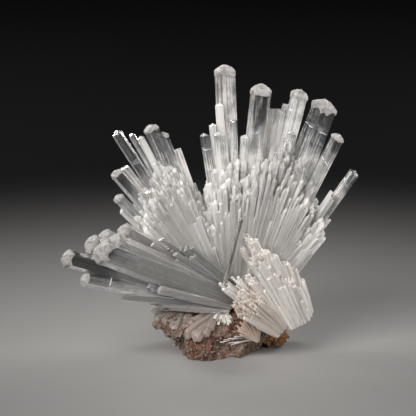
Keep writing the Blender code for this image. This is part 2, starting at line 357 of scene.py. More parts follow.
@dataclass(frozen=True)
class CrystalFinish(Finish):
    """Prism faces: striated along the crystal, milky where clarity is low, glassy where high."""

    milky: Colour = (0.92, 0.90, 0.875, 1.0)
    clear: Colour = (0.82, 0.82, 0.825, 1.0)
    streak: Colour = (0.56, 0.55, 0.53, 1.0)
    streak_share: float = 0.26
    own_share: float = 0.5
    milky_transmission: float = 0.28
    clear_transmission: float = 0.97
    milky_roughness: float = 0.36
    clear_roughness: float = 0.07
    grain: Pair = (-0.05, 0.08)
    subsurface: float = 0.6
    subsurface_radius: Point = (1.0, 0.95, 0.9)
    subsurface_scale: float = 0.008
    shine: float = 0.4
    ior: float = 1.51
    line_scale: Point = (1.5, 0.045, 1.0)
    line_depth: float = 0.25
    fine_scale: Point = (7.0, 0.16, 1.0)
    cloud_scale: float = 260.0
    cloud_depth: float = 0.22
    bump_depth: float = 0.00016
    bump_strength: float = 0.7
    absorption: float = 0.0
    absorbed_tint: Colour = (0.86, 0.87, 0.88, 1.0)

    def dress(self, work: NodeWork, shader: bpy.types.Node) -> None:
        """Set up streaks, clarity and striations.

        Args:
            work: the material's tree.
            shader: its shader.
        """
        place = work.add("ShaderNodeTexCoord").outputs["UV"]
        lines = self.stretched(work, place, self.line_scale, 3.0)
        fine = self.stretched(work, place, self.fine_scale, 2.0)
        held = self.held_clarity(work, lines)
        seen = work.fit(held, 0.0, 1.0, self.milky_transmission, self.clear_transmission)
        rough = work.fit(held, 0.0, 1.0, self.milky_roughness, self.clear_roughness)
        rough = work.maths("ADD", rough, work.fit(fine, 0.3, 0.7, *self.grain))
        height = work.maths("ADD", work.maths("MULTIPLY", lines, 0.8), fine)
        bump = work.add("ShaderNodeBump", {
            "Height": height, "Distance": self.bump_depth, "Strength": self.bump_strength,
        })
        work.feed(shader.inputs["Base Color"], self.colour(work, held, fine))
        work.feed(shader.inputs["Transmission Weight"], seen)
        work.feed(shader.inputs["Roughness"], rough)
        work.feed(shader.inputs["Normal"], bump.outputs[0])
        shader.inputs["IOR"].default_value = self.ior
        shader.inputs["Specular IOR Level"].default_value = self.shine
        shader.inputs["Subsurface Weight"].default_value = self.subsurface
        shader.inputs["Subsurface Radius"].default_value = self.subsurface_radius
        shader.inputs["Subsurface Scale"].default_value = self.subsurface_scale
        if self.absorption:
            self.absorb(work)

    def held_clarity(self, work: NodeWork, lines: Socket) -> Socket:
        """Make the mesh's own clarity uneven with clouds and lines.

        Args:
            work: the material's tree.
            lines: noise that is drawn out along the crystal.

        Returns:
            The socket of a number from 0 for milky to 1 for clear.
        """
        clarity = work.add("ShaderNodeAttribute", attribute_name="clarity").outputs["Fac"]
        inside = work.add("ShaderNodeTexCoord").outputs["Object"]
        clouds = work.add(
            "ShaderNodeTexNoise", {"Vector": inside, "Scale": self.cloud_scale, "Detail": 4.0}
        ).outputs[0]
        cloud = work.fit(clouds, 0.3, 0.7, -self.cloud_depth, self.cloud_depth)
        streaks = work.fit(lines, 0.38, 0.66, -self.line_depth, self.line_depth)
        uneven = work.maths("ADD", clarity, work.maths("ADD", cloud, streaks))
        return work.fit(uneven, 0.0, 1.0, 0.0, 1.0)

    def colour(self, work: NodeWork, held: Socket, fine: Socket) -> Socket:
        """Mix the colour, darker in fine streaks and on single dark fibres.

        Args:
            work: the material's tree.
            held: how clear each spot is.
            fine: fine noise that is drawn out along the crystal.

        Returns:
            The colour's socket.
        """
        body = blend_colours(work, held, self.milky, self.clear)
        own = work.add("ShaderNodeAttribute", attribute_name="shade").outputs["Fac"]
        drawn = work.maths("ADD", fine, work.maths("MULTIPLY", own, self.own_share))
        dark = work.fit(drawn, 0.5, 0.72, 0.0, self.streak_share)
        return blend_colours(work, dark, body, self.streak)

    def absorb(self, work: NodeWork) -> None:
        """Let the inside of the crystal take up a little light.

        Args:
            work: the material's tree.
        """
        inside = work.add("ShaderNodeVolumeAbsorption")
        inside.inputs["Color"].default_value = self.absorbed_tint
        inside.inputs["Density"].default_value = self.absorption
        work.feed(work.tree.nodes["Material Output"].inputs["Volume"], inside.outputs[0])

    def stretched(self, work: NodeWork, place: Socket, scale: Point, detail: float) -> Socket:
        """Make noise that is drawn out along the crystal.

        Args:
            work: the material's tree.
            place: the UV map's socket.
            scale: how much the noise repeats across and along.
            detail: how fine it goes.

        Returns:
            The noise's socket.
        """
        drawn = work.add("ShaderNodeMapping", {"Vector": place, "Scale": scale})
        inputs = {"Vector": drawn.outputs[0], "Scale": 1.0, "Detail": detail}
        return work.add("ShaderNodeTexNoise", inputs).outputs[0]


@dataclass(frozen=True)
class CrustFinish(Finish):
    """The frosted, drusy crust over the ends of the large prisms."""

    pale: Colour = (0.45, 0.445, 0.44, 1.0)
    dull: Colour = (0.23, 0.22, 0.21, 1.0)
    transmission: float = 0.3
    grain_scale: float = 1900.0
    patch_scale: float = 700.0
    bump_depth: float = 0.0003
    ior: float = 1.51

    def dress(self, work: NodeWork, shader: bpy.types.Node) -> None:
        """Set up a speckled, sugary surface.

        Args:
            work: the material's tree.
            shader: its shader.
        """
        inside = work.add("ShaderNodeTexCoord").outputs["Object"]
        grains = work.add(
            "ShaderNodeTexVoronoi", {"Vector": inside, "Scale": self.grain_scale}
        ).outputs[0]
        patches = work.add(
            "ShaderNodeTexNoise", {"Vector": inside, "Scale": self.patch_scale, "Detail": 5.0}
        ).outputs[0]
        share = work.fit(patches, 0.42, 0.66, 0.0, 0.8)
        bump = work.add(
            "ShaderNodeBump", {"Height": grains, "Distance": self.bump_depth, "Strength": 0.6}
        )
        work.feed(shader.inputs["Base Color"], blend_colours(work, share, self.pale, self.dull))
        work.feed(shader.inputs["Roughness"], work.fit(patches, 0.3, 0.7, 0.55, 0.8))
        work.feed(shader.inputs["Normal"], bump.outputs[0])
        shader.inputs["IOR"].default_value = self.ior
        shader.inputs["Transmission Weight"].default_value = self.transmission


@dataclass(frozen=True)
class VeilFinish(Finish):
    """A healed crack inside a clear prism, which glints white."""

    glint: Colour = (0.95, 0.95, 0.95, 1.0)
    patch_scale: float = 900.0
    roughness: float = 0.35
    ior: float = 1.2

    def dress(self, work: NodeWork, shader: bpy.types.Node) -> None:
        """Set up a bright, patchy veil.

        Args:
            work: the material's tree.
            shader: its shader.
        """
        inside = work.add("ShaderNodeTexCoord").outputs["Object"]
        patches = work.add(
            "ShaderNodeTexNoise", {"Vector": inside, "Scale": self.patch_scale, "Detail": 4.0}
        ).outputs[0]
        work.feed(shader.inputs["Transmission Weight"], work.fit(patches, 0.4, 0.6, 0.9, 0.15))
        shader.inputs["Base Color"].default_value = self.glint
        shader.inputs["Roughness"].default_value = self.roughness
        shader.inputs["IOR"].default_value = self.ior


@dataclass(frozen=True)
class Spot:
    """A patch of another tone on the rock, about a point."""

    middle: Point
    reach: float
    tone: Colour
    strength: float = 1.0


IRON_BROWN: Colour = (0.10, 0.034, 0.014, 1.0)
RUST_ORANGE: Colour = (0.30, 0.12, 0.02, 1.0)
WAXY_PINK: Colour = (0.30, 0.245, 0.22, 1.0)


@dataclass(frozen=True)
class RockFinish(Finish):
    """Altered rock: pinkish brown, with pale patches and brown to orange iron stains."""

    ground: Colour = (0.095, 0.05, 0.031, 1.0)
    pale: Colour = (0.18, 0.128, 0.102, 1.0)
    stain: Colour = (0.18, 0.07, 0.03, 1.0)
    spots: tuple[Spot, ...] = (
        Spot((-8.0, -9.5, 11.5), 9.0, WAXY_PINK, 0.95),
        Spot((5.0, -10.0, 14.0), 8.0, IRON_BROWN),
        Spot((-9.0, -12.5, 5.0), 5.0, IRON_BROWN),
        Spot((-3.0, -12.0, 5.5), 5.0, IRON_BROWN),
        Spot((3.0, -11.0, 7.0), 5.0, IRON_BROWN, 0.9),
        Spot((19.0, 2.0, 5.0), 7.0, RUST_ORANGE),
        Spot((16.0, 0.0, 2.0), 5.0, RUST_ORANGE),
        Spot((10.0, 12.0, 8.0), 7.0, IRON_BROWN, 0.8),
        Spot((-12.0, 12.0, 10.0), 6.0, RUST_ORANGE, 0.7),
    )
    patch_scale: float = 0.15
    grit_scale: float = 1.1
    vein_scale: float = 0.23
    bump_depth: float = 0.0005

    def dress(self, work: NodeWork, shader: bpy.types.Node) -> None:
        """Set up patches, stains and a gritty surface.

        Args:
            work: the material's tree.
            shader: its shader.
        """
        inside = work.add("ShaderNodeTexCoord").outputs["Object"]
        place = work.add(
            "ShaderNodeVectorMath", {0: inside, 3: 1.0 / MM}, operation="SCALE"
        ).outputs[0]
        patches = self.cloud(work, place, self.patch_scale, 6.0)
        grit = self.cloud(work, place, self.grit_scale, 5.0)
        veins = self.cloud(work, place, self.vein_scale, 7.0)
        pale = work.fit(patches, 0.44, 0.58, 0.0, 0.9)
        colour = blend_colours(work, pale, self.ground, self.pale)
        iron = work.fit(veins, 0.55, 0.66, 0.0, 0.75)
        colour = blend_colours(work, iron, colour, self.stain)
        colour = self.add_spots(work, place, veins, colour)
        shade = work.fit(grit, 0.45, 0.62, 0.0, 0.35)
        bump = work.add(
            "ShaderNodeBump", {"Height": grit, "Distance": self.bump_depth, "Strength": 0.7}
        )
        work.feed(shader.inputs["Base Color"], blend_colours(work, shade, colour, self.pale))
        work.feed(shader.inputs["Roughness"], work.fit(grit, 0.3, 0.7, 0.45, 0.85))
        work.feed(shader.inputs["Normal"], bump.outputs[0])

    def add_spots(self, work: NodeWork, place: Socket, veins: Socket, colour: Socket) -> Socket:
        """Lay the stains over the colour, each with a ragged edge.

        Args:
            work: the material's tree.
            place: the place in millimetres.
            veins: the noise that makes the edges ragged.
            colour: the colour under the stains.

        Returns:
            The stained colour's socket.
        """
        ragged = work.fit(veins, 0.38, 0.62, -0.45, 0.45)
        for spot in self.spots:
            away = work.add(
                "ShaderNodeVectorMath", {0: place, 1: spot.middle}, operation="DISTANCE"
            ).outputs["Value"]
            near = work.fit(away, spot.reach * 0.3, spot.reach, 1.2, -0.4)
            share = work.fit(work.maths("ADD", near, ragged), 0.2, 0.7, 0.0, spot.strength)
            colour = blend_colours(work, share, colour, spot.tone)
        return colour

    def cloud(self, work: NodeWork, place: Socket, scale: float, detail: float) -> Socket:
        """Make noise of a size, in repeats a millimetre."""
        inputs = {"Vector": place, "Scale": scale, "Detail": detail}
        return work.add("ShaderNodeTexNoise", inputs).outputs[0]


@dataclass(frozen=True)
class StudioFinish(Finish):
    """Paper with a painted pool of light: pale where the specimen stands, darkening to painted
    shade away from it.
    """

    # Painted light: near is the painted pool of light round the specimen, far is the painted shade
    # beyond it.
    near: Colour = (0.27, 0.27, 0.27, 1.0)
    far: Colour = (0.007, 0.007, 0.0075, 1.0)
    fade_reach: float = 0.34
    fade_power: float = 0.55
    tooth_scale: float = 900.0

    def dress(self, work: NodeWork, shader: bpy.types.Node) -> None:
        """Set up matt paper with a long painted falloff of light.

        Args:
            work: the material's tree.
            shader: its shader.
        """
        inside = work.add("ShaderNodeTexCoord").outputs["Object"]
        # Painted pool of light: the colour darkens with the level distance from the specimen.
        flat = work.vector_maths("MULTIPLY", inside, (1.0, 1.0, 0.0))
        away = work.add("ShaderNodeVectorMath", {0: flat}, operation="LENGTH").outputs["Value"]
        painted_falloff = work.add(
            "ShaderNodeMapRange", {0: away, 1: 0.0, 2: self.fade_reach},
            interpolation_type="SMOOTHERSTEP",
        ).outputs[0]
        painted_falloff = work.maths("POWER", painted_falloff, self.fade_power)
        tooth = work.add(
            "ShaderNodeTexNoise", {"Vector": inside, "Scale": self.tooth_scale}
        ).outputs[0]
        work.feed(shader.inputs["Base Color"], blend_colours(work, painted_falloff, self.near, self.far))
        work.feed(shader.inputs["Roughness"], work.fit(tooth, 0.3, 0.7, 0.75, 0.9))
        shader.inputs["Specular IOR Level"].default_value = 0.0


LARGE_PRISMS = CrystalFinish("large prisms", absorption=12.0)
PLATE_PRISMS = CrystalFinish(
    "plate prisms", milky=(0.29, 0.285, 0.28, 1.0), shine=0.25, streak_share=0.2,
    milky_transmission=0.5, line_scale=(0.7, 0.02, 1.0), fine_scale=(3.0, 0.06, 1.0),
    bump_depth=0.00007, absorption=30.0,
)
FINE_PRISMS = CrystalFinish(
    "fine prisms", milky=(0.96, 0.94, 0.91, 1.0), milky_transmission=0.2, milky_roughness=0.46,
    streak_share=0.24, own_share=0.4, shine=0.3, line_scale=(2.4, 1.2, 1.0),
    fine_scale=(8.0, 3.0, 1.0),
)
SILKY_FIBRES = CrystalFinish(
    "silky fibres", milky=(0.88, 0.85, 0.815, 1.0), clear=(0.88, 0.85, 0.82, 1.0),
    streak=(0.42, 0.34, 0.29, 1.0), streak_share=0.8, milky_transmission=0.12,
    clear_transmission=0.18, milky_roughness=0.55, clear_roughness=0.5, subsurface=0.35, shine=0.18,
    own_share=0.9, line_scale=(2.2, 0.03, 1.0), fine_scale=(4.6, 0.05, 1.0), bump_depth=0.0003,
)
STAINED_NEEDLES = CrystalFinish(
    "stained needles", milky=(0.84, 0.77, 0.71, 1.0), clear=(0.62, 0.44, 0.34, 1.0),
    streak=(0.40, 0.24, 0.16, 1.0), streak_share=0.8, milky_transmission=0.12,
    clear_transmission=0.18, milky_roughness=0.55, clear_roughness=0.5, subsurface=0.35, shine=0.18,
    own_share=0.9, line_scale=(2.2, 0.6, 1.0), fine_scale=(4.6, 1.2, 1.0),
)
SMOKY_PLATES = CrystalFinish(
    "smoky plates", milky=(0.34, 0.28, 0.25, 1.0), clear=(0.62, 0.57, 0.53, 1.0),
    milky_transmission=0.35, clear_transmission=0.8, streak_share=0.2,
)
WAXY_BLADES = CrystalFinish(
    "waxy blades", milky=(0.33, 0.265, 0.235, 1.0), clear=(0.48, 0.40, 0.365, 1.0),
    streak=(0.20, 0.11, 0.07, 1.0), streak_share=0.35, milky_transmission=0.15,
    clear_transmission=0.5, milky_roughness=0.4, clear_roughness=0.3, shine=0.4,
    line_scale=(0.5, 0.06, 1.0), fine_scale=(1.2, 0.3, 1.0),
)
PINK_FIBRES = CrystalFinish(
    "pink fibres", milky=(0.72, 0.56, 0.47, 1.0), clear=(0.50, 0.34, 0.25, 1.0),
    milky_transmission=0.15, clear_transmission=0.4, milky_roughness=0.5, clear_roughness=0.4,
    subsurface=0.2, shine=0.3,
)
SMOKY_ROD = CrystalFinish(
    "smoky rod", clear=(0.40, 0.38, 0.36, 1.0), milky=(0.55, 0.52, 0.50, 1.0),
    clear_transmission=0.8, absorption=40.0,
)
FROSTED_CRUST = CrustFinish("frosted crust")
PLATE_CRUST = CrustFinish(
    "plate crust", pale=(0.34, 0.335, 0.33, 1.0), dull=(0.22, 0.21, 0.20, 1.0), transmission=0.1,
)
DRUSE = CrystalFinish(
    "druse", milky=(0.23, 0.155, 0.115, 1.0), clear=(0.38, 0.30, 0.25, 1.0), milky_transmission=0.1,
    clear_transmission=0.4, line_scale=(2.0, 1.0, 1.0), fine_scale=(6.0, 3.0, 1.0),
)
INNER_VEILS = VeilFinish("inner veils")
STAINED_ROCK = RockFinish("stained rock")


@dataclass(frozen=True)
class Single:
    """One large prism: where its tip is, how wide, how clear and how it ends."""

    right: float
    up: float
    depth: float
    width: float
    extra_clarity: float = 0.0
    tip: Tip = Tip.POINT
    veils: tuple[float, ...] = ()
    composite: bool = False
    strips: int = 4


# Clarity past 1 keeps a prism clear where clouds and streaks take some away
MOST_CLARITY = 1.7
# Draws that are passed over between a prism's sides and its end; the later ones depend on them
PASSED_DRAWS = 6


@dataclass
class Prism:
    """A prism with striated sides, from its root to its tip."""

    root: Vector
    tip: Vector
    width: float
    roll: float
    extra_clarity: float = 0.0
    ending: Tip = Tip.POINT
    veils: tuple[float, ...] = ()
    strips: int = 4
    composite: bool = False
    corner_cut: float = 0.3
    depth_share: float = 0.86
    root_share: float = 0.8
    tip_share: float = 0.32
    groove: float = 0.028
    step_gaps: Pair = (0.06, 0.2)
    step_depth: float = 0.022
    step_height: float = 0.12

    @property
    def length(self) -> float:
        """The distance from root to tip."""
        return (self.tip - self.root).length

    def frame(self) -> Matrix:
        """Give the prism's own frame.

        Returns:
            The frame, with Z along the prism and X as level as it can be, then rolled.
        """
        along = (self.tip - self.root).normalized()
        side = along.cross(Vector((0.0, 1.0, 0.0))).normalized()
        back = along.cross(side).normalized()
        turn = Matrix((side, -back, along)).transposed().to_4x4()
        return Matrix.Translation(self.root) @ turn @ Matrix.Rotation(self.roll, 4, "Z")

    def corners(self) -> list[Pair]:
        """Give the corners of the outline: a square with two opposite corners cut.

        Returns:
            The six corners.
        """
        half = self.width / 2
        cut = self.width * self.corner_cut
        deep = half * self.depth_share
        return [
            (-half, -deep), (half - cut, -deep), (half, -deep + cut),
            (half, deep), (-half + cut, deep), (-half, deep - cut),
        ]

    def outline(self, draw: random.Random) -> list[Point]:
        """Split each side into strips that step in and out a little.

        Args:
            draw: the source of chance.

        Returns:
            Points of the outline with their distance round it.
        """
        corners = self.corners()
        points = []
        travelled = 0.0
        for index, (x, y) in enumerate(corners):
            ahead_x, ahead_y = corners[(index + 1) % len(corners)]
            span = math.hypot(ahead_x - x, ahead_y - y)
            for strip in range(self.strips):
                share = strip / self.strips
                if strip:
                    share += draw.uniform(-0.3, 0.3) / self.strips
                inward = 1.0 - (draw.uniform(0.0, 1.0) * self.groove * 2 if strip else 0.0)
                points.append((
                    (x + (ahead_x - x) * share) * inward,
                    (y + (ahead_y - y) * share) * inward,
                    travelled + span * share,
                ))
            travelled += span
        return points

    def levels(self, draw: random.Random) -> list[Pair]:
        """Choose where the prism steps in a little on its way up.

        Args:
            draw: the source of chance.

        Returns:
            Heights along the prism, with its share of the width at each.
        """
        shoulder = self.length - self.width * self.tip_share
        heights = [(0.0, self.root_share), (shoulder * 0.25, (1.0 + self.root_share) / 2)]
        heights.append((shoulder * 0.5, 1.0))
        share = 1.0
        place = 0.5
        while place < 0.9:
            place += draw.uniform(*self.step_gaps)
            if place > 0.95:
                break
            heights.append((shoulder * place, share))
            share -= draw.uniform(0.0, self.step_depth)
            heights.append((shoulder * place + self.step_height, share))
        heights.append((shoulder, share))
        return heights

    def clear_at(self, focus: Vector, point: Vector, clear_range: Pair) -> float:
        """Work out how clear the prism is at a point.

        Args:
            focus: where the spray comes from.
            point: the place.
            clear_range: the distances where it starts to be clear and where it is clear.

        Returns:
            0 for milky to 1 for clear.
        """
        milky, clear = clear_range
        away = (point - focus).length
        clarity = smooth((away - milky) / (clear - milky)) + self.extra_clarity
        return min(MOST_CLARITY, clarity)

    def add_to(
        self, draft: MeshDraft, focus: Vector, clear_range: Pair,
        draw: random.Random,
    ) -> None:
        """Add the prism to a draft.

        Args:
            draft: where it goes.
            focus: where its spray comes from.
            clear_range: the distances over which the spray turns clear.
            draw: the source of chance.
        """
        turn = self.frame()
        outline = self.outline(draw)
        offset = draw.uniform(0.0, 400.0)
        levels = self.levels(draw)
        rings, spots = [], []
        for height, share in levels:
            rings.append([turn @ Vector((x * share, y * share, height)) for x, y, _ in outline])
            spots.append([(offset + around, offset + height) for _, _, around in outline])
        for _ in range(PASSED_DRAWS):
            draw.random()
        for ring in self.crown(outline, levels[-1][1], draw):
            rings.append([turn @ point for point in ring])
            spots.append([(offset + p.x * 2, offset + self.length + p.y * 2) for p in ring])
        middles = [sum(ring, Vector()) / len(ring) for ring in rings]
        clarity = [self.clear_at(focus, middle, clear_range) for middle in middles]
        draft.add_rings(rings, clarity, spots)

    def crown(self, outline: list[Point], share: float, draw: random.Random) -> list[Ring]:
        """Make the rings of the prism's end, above its shoulder.

        Args:
            outline: the prism's outline.
            share: the share of the width at the shoulder.
            draw: the source of chance.

        Returns:
            Rings in the prism's own frame, the last one very small.
        """
        slope = self.width * self.tip_share
        off_centre = 0.0 if self.ending is Tip.CRUST else 0.2
        peak_x = draw.uniform(-1.0, 1.0) * off_centre * self.width
        peak_y = draw.uniform(-1.0, 1.0) * off_centre * self.width
        base = self.length - slope
        tilt_x = draw.uniform(-0.35, 0.35)
        tilt_y = draw.uniform(-0.35, 0.35)
        rings = []
        for inward in (0.04, 0.5, 0.93):
            ring = []
            for x, y, _ in outline:
                px = x * share * (1 - inward) + peak_x * inward
                py = y * share * (1 - inward) + peak_y * inward
                if self.ending is Tip.BROKEN:
                    rise = slope * 0.5 + (px * tilt_x + py * tilt_y) * inward ** 0.2
                else:
                    rise = slope * inward
                ring.append(Vector((px, py, base + min(rise, slope))))
            rings.append(ring)
        return rings


@dataclass
class Crust:
    """A sugary crust over the end of one prism."""

    prism: Prism
    grow: float = 1.02
    coarse: float = 0.45
    coarse_size: float = 1.1
    fine: float = 0.26
    fine_size: float = 0.45
    around: int = 84
    border_rings: int = 2
    border_size: float = 1.6
    border_depth: float = 0.7
    side_rings: int = 5
    side_share: float = 0.5
    rise_share: float = 0.6
    highest: float = 0.3
    steps: Table = (
        (0.93, -0.42), (1.0, -0.38), (1.0, -0.2), (1.0, 0.02), (0.96, 0.20), (0.84, 0.38),
        (0.68, 0.58), (0.50, 0.76), (0.34, 0.90), (0.18, 1.02), (0.06, 1.07),
    )

    def add_to(self, draft: MeshDraft, draw: random.Random) -> None:
        """Add the crust to a draft.

        Args:
            draft: where it goes.
            draw: the source of chance.
        """
        prism = self.prism
        turn = prism.frame()
        edge = walk_round(prism.corners(), self.around)
        slope = prism.width * prism.tip_share
        shoulder = prism.length - slope
        seed = Vector([draw.uniform(0.0, 90.0) for _ in range(3)])
        rings, spots = [], []
        for number, (inward, rise) in enumerate(self.steps):
            ring = []
            for x, y in edge:
                flat = Vector((x * inward * self.grow, y * inward * self.grow, rise * slope))
                rough = noise.noise(flat / self.coarse_size + seed) * self.coarse
                rough += noise.noise(flat / self.fine_size + seed) * self.fine
                height = shoulder + flat.z + rough * self.rise_share
                if number < self.border_rings:
                    border = noise.noise(flat / self.border_size - seed)
                    height += border * slope * self.border_depth
                push = 1.0
                if number < self.side_rings:
                    push += rough * self.side_share / prism.width
                height = min(height, prism.length + self.highest)
                ring.append(turn @ Vector((flat.x * push, flat.y * push, height)))
            rings.append(ring)
            spots.append(edge)
        draft.add_rings(rings, [0.2] * len(rings), spots)


@dataclass
class Veil:
    """A thin, bent, healed crack across a clear prism."""

    prism: Prism
    share: float
    around: int = 18
    thickness: float = 0.25
    inset: float = 0.95
    slant: float = 0.7
    bend: float = 0.6
    shares: Point = (0.05, 0.55, 1.0)

    def add_to(self, draft: MeshDraft, draw: random.Random) -> None:
        """Add the veil to a draft.

        Args:
            draft: where it goes.
            draw: the source of chance.
        """
        prism = self.prism
        turn = prism.frame()
        height = prism.length * self.share
        slant = draw.uniform(-self.slant, self.slant)
        edge = walk_round(prism.corners(), self.around)
        rings, spots = [], []
        for level, shares in ((0.0, self.shares), (self.thickness, self.shares[::-1])):
            for inward in shares:
                ring = []
                for x, y in edge:
                    flat = Vector((x, y, 0.0)) * inward * self.inset
                    bend = flat.x * slant + noise.noise(flat * 0.8 + prism.root) * self.bend
                    ring.append(turn @ Vector((flat.x, flat.y, height + bend + level)))
                rings.append(ring)
                spots.append([(point.x, point.y) for point in ring])
        rings = [list(reversed(ring)) for ring in rings]
        draft.add_rings(rings, [1.0] * len(rings), spots)


@dataclass
class PrismStock:
    """The small prisms that Geometry Nodes set out: unit length and width, with unlike ends."""

    name: str = "prism_stock"
    kinds: int = 5
    sides: int = 6
    end_height: float = 0.02
    end_range: Pair = (0.7, 1.9)
    end_tilt: float = 0.7
    peak_stray: float = 0.2
    corner_stray: Pair = (0.1, 0.07)
    seed: int = 3
    collection: bpy.types.Collection | None = None

    def build(self) -> bpy.types.Collection:
        """Make the stock.

        Returns:
            A collection of small prism objects.
        """
        draw = random.Random(self.seed)
        self.collection = bpy.data.collections.new(self.name)
        bpy.context.scene.collection.children.link(self.collection)
        for kind in range(self.kinds):
            mesh = bpy.data.meshes.new(f"{self.name}_{kind}")
            points, faces, spots = self.shape(draw)
            mesh.from_pydata(points, [], faces)
            layer = mesh.uv_layers.new(name="UVMap")
            for loop in mesh.loops:
                layer.uv[loop.index].vector = spots[loop.vertex_index]
            mesh.update()
            self.collection.objects.link(bpy.data.objects.new(mesh.name, mesh))
        return self.collection

    def shape(self, draw: random.Random) -> tuple[list, list, list]:
        """Make one prism's points, faces and UV places.

        Args:
            draw: the source of chance.

        Returns:
            The points, the faces and a UV place for each point.
        """
        stray_x, stray_y = self.corner_stray
        corners = []
        for x, y in Prism(Vector(), Vector((0.0, 0.0, 1.0)), 1.0, 0.0).corners():
            x += draw.uniform(-stray_x, stray_x)
            y += draw.uniform(-stray_y, stray_y)
            corners.append((x, y))
        peak = [draw.uniform(-self.peak_stray, self.peak_stray) for _ in range(2)]
        tilt = [draw.uniform(-self.end_tilt, self.end_tilt) for _ in range(2)]
        end = self.end_height * draw.uniform(*self.end_range)
        levels = ((0.0, 0.8, 0.0), (0.3, 0.97, 0.0), (0.6, 1.0, 0.0), (1.0 - end, 0.97, end))
        points, spots = [], []
        for height, share, slope in levels:
            for number, (x, y) in enumerate(corners):
                lift = (x * tilt[0] + y * tilt[1]) * slope
                points.append((x * share, y * share, height + lift))
                spots.append((number / self.sides * 3.0, height))
        points.append((*peak, 1.0))
        spots.append((0.5, 1.0))
        count = self.sides
        top = (len(levels) - 1) * count
        faces = []
        for low in range(0, top, count):
            high = low + count
            for side in range(count):
                ahead = (side + 1) % count
                faces.append((low + side, low + ahead, high + ahead, high + side))
        faces.append(tuple(reversed(range(count))))
        for side in range(count):
            faces.append((top + side, top + (side + 1) % count, top + count))
        return points, faces, spots

    def remove(self) -> None:
        """Take the stock out of the file once it has been used."""
        for thing in list(self.collection.objects):
            bpy.data.objects.remove(thing, do_unlink=True)
        bpy.data.collections.remove(self.collection)


class Grower:
    """Base of the Geometry Nodes trees: named inputs, a seed, and a plain mesh at the end."""

    title = "grower"

    def __init__(self) -> None:
        """Make the tree."""
        self.tree = bpy.data.node_groups.new(self.title, "GeometryNodeTree")
        self.work = NodeWork(self.tree)
        self.sockets: dict[str, str] = {}
        for way in ("INPUT", "OUTPUT"):
            self.tree.interface.new_socket(
                "Geometry", in_out=way, socket_type="NodeSocketGeometry"
            )
        self.declare_inputs()
        self.entry = self.tree.nodes.new("NodeGroupInput")
        self.exit = self.tree.nodes.new("NodeGroupOutput")
        self.wire()

    def take(self, name: str, kind: str) -> None:
        """Add a named input.

        Args:
            name: its name.
            kind: its kind, such as Float, Int, Vector, Material or Collection.
        """
        socket = self.tree.interface.new_socket(
            name, in_out="INPUT", socket_type=f"NodeSocket{kind}"
        )
        self.sockets[name] = socket.identifier

    def declare_inputs(self) -> None:
        """Name the tree's inputs; each tree has its own."""
        raise NotImplementedError

    def wire(self) -> None:
        """Place and link the nodes; each tree has its own."""
        raise NotImplementedError

    def chance(
        self, low: object, high: object, salt: int, group: object = None
    ) -> Socket:
        """Draw a number for each element.

        Args:
            low: the lowest value.
            high: the highest value.
            salt: what sets this draw apart from the others.
            group: the number of a group that shares one draw.

        Returns:
            The number's socket.
        """
        seed = self.work.maths("ADD", self.entry.outputs["Seed"], salt)
        inputs = {2: low, 3: high, "Seed": seed}
        if group is not None:
            inputs["ID"] = group
        return self.work.add("FunctionNodeRandomValue", inputs, data_type="FLOAT").outputs[1]

    def turned(self, turn: Socket, *angles: object) -> Socket:
        """Turn a direction further about its own axes.

        Args:
            turn: the direction.
            angles: the angle about X, Y and Z.

        Returns:
            The new direction's socket.
        """
        work = self.work
        extra = work.add("ShaderNodeCombineXYZ", dict(enumerate(angles))).outputs[0]
        extra = work.add("FunctionNodeEulerToRotation", {0: extra}).outputs[0]
        return work.add(
            "FunctionNodeRotateRotation", {0: turn, 1: extra}, rotation_space="LOCAL"
        ).outputs[0]

    def stand(self, points: Socket, turn: Socket, width: Socket, length: Socket) -> Socket:
        """Stand one of the small prisms on each point.

        Args:
            points: the points.
            turn: each prism's direction.
            width: each prism's width.
            length: each prism's length.

        Returns:
            The instances' socket.
        """
        work = self.work
        size = work.add("ShaderNodeCombineXYZ", {0: width, 1: width, 2: length}).outputs[0]
        stock = work.add("GeometryNodeCollectionInfo", {
            0: self.entry.outputs["Stock"], "Separate Children": True, "Reset Children": True,
        }).outputs[0]
        pick = self.chance(0.0, PrismStock.kinds, 6)
        return work.add("GeometryNodeInstanceOnPoints", {
            "Points": points, "Instance": stock, "Pick Instance": True, "Instance Index": pick,
            "Rotation": turn, "Scale": size,
        }).outputs[0]

    def deliver(self, instances: Socket, clarity: Socket) -> None:
        """Make the instances real, store how clear they are and dress them.

        Args:
            instances: the instances.
            clarity: how clear each point is.
        """
        work = self.work
        real = work.add("GeometryNodeRealizeInstances", {0: instances}).outputs[0]
        marked = work.add(
            "GeometryNodeStoreNamedAttribute",
            {"Geometry": real, "Name": "clarity", "Value": clarity},
            data_type="FLOAT", domain="POINT",
        ).outputs[0]
        dressed = work.add("GeometryNodeSetMaterial", {
            "Geometry": marked, "Material": self.entry.outputs["Material"],
        }).outputs[0]
        work.feed(self.exit.inputs[0], dressed)

    def grow(
        self, mesh: bpy.types.Mesh, name: str, values: dict[str, object]
    ) -> bpy.types.Object:
        """Run the tree on a mesh and keep the result as a plain mesh.

        Args:
            mesh: what the tree starts from.
            name: the new object's name.
            values: the inputs, by their names.

        Returns:
            The object, with no modifier on it.
        """
        carrier = bpy.data.objects.new(f"{name}_carrier", mesh)
        modifier = carrier.modifiers.new(self.title, "NODES")
        modifier.node_group = self.tree
        for key, value in values.items():
            modifier[self.sockets[key]] = value
        link(carrier)
        sight = bpy.context.evaluated_depsgraph_get()
        grown = bpy.data.meshes.new_from_object(carrier.evaluated_get(sight))
        grown.name = name
        carrier.modifiers.remove(modifier)
        bpy.data.objects.remove(carrier, do_unlink=True)
        return link(bpy.data.objects.new(name, grown))


# Where the strands of a bundled prism stand, in quarters of its width
STRAND_PLACES = (
    (-0.5, -1.5), (0.5, -1.5), (-1.5, -0.5), (-0.5, -0.5), (0.5, -0.5), (1.5, -0.5),
    (-1.5, 0.5), (-0.5, 0.5), (0.5, 0.5), (1.5, 0.5), (-0.5, 1.5), (0.5, 1.5),
)
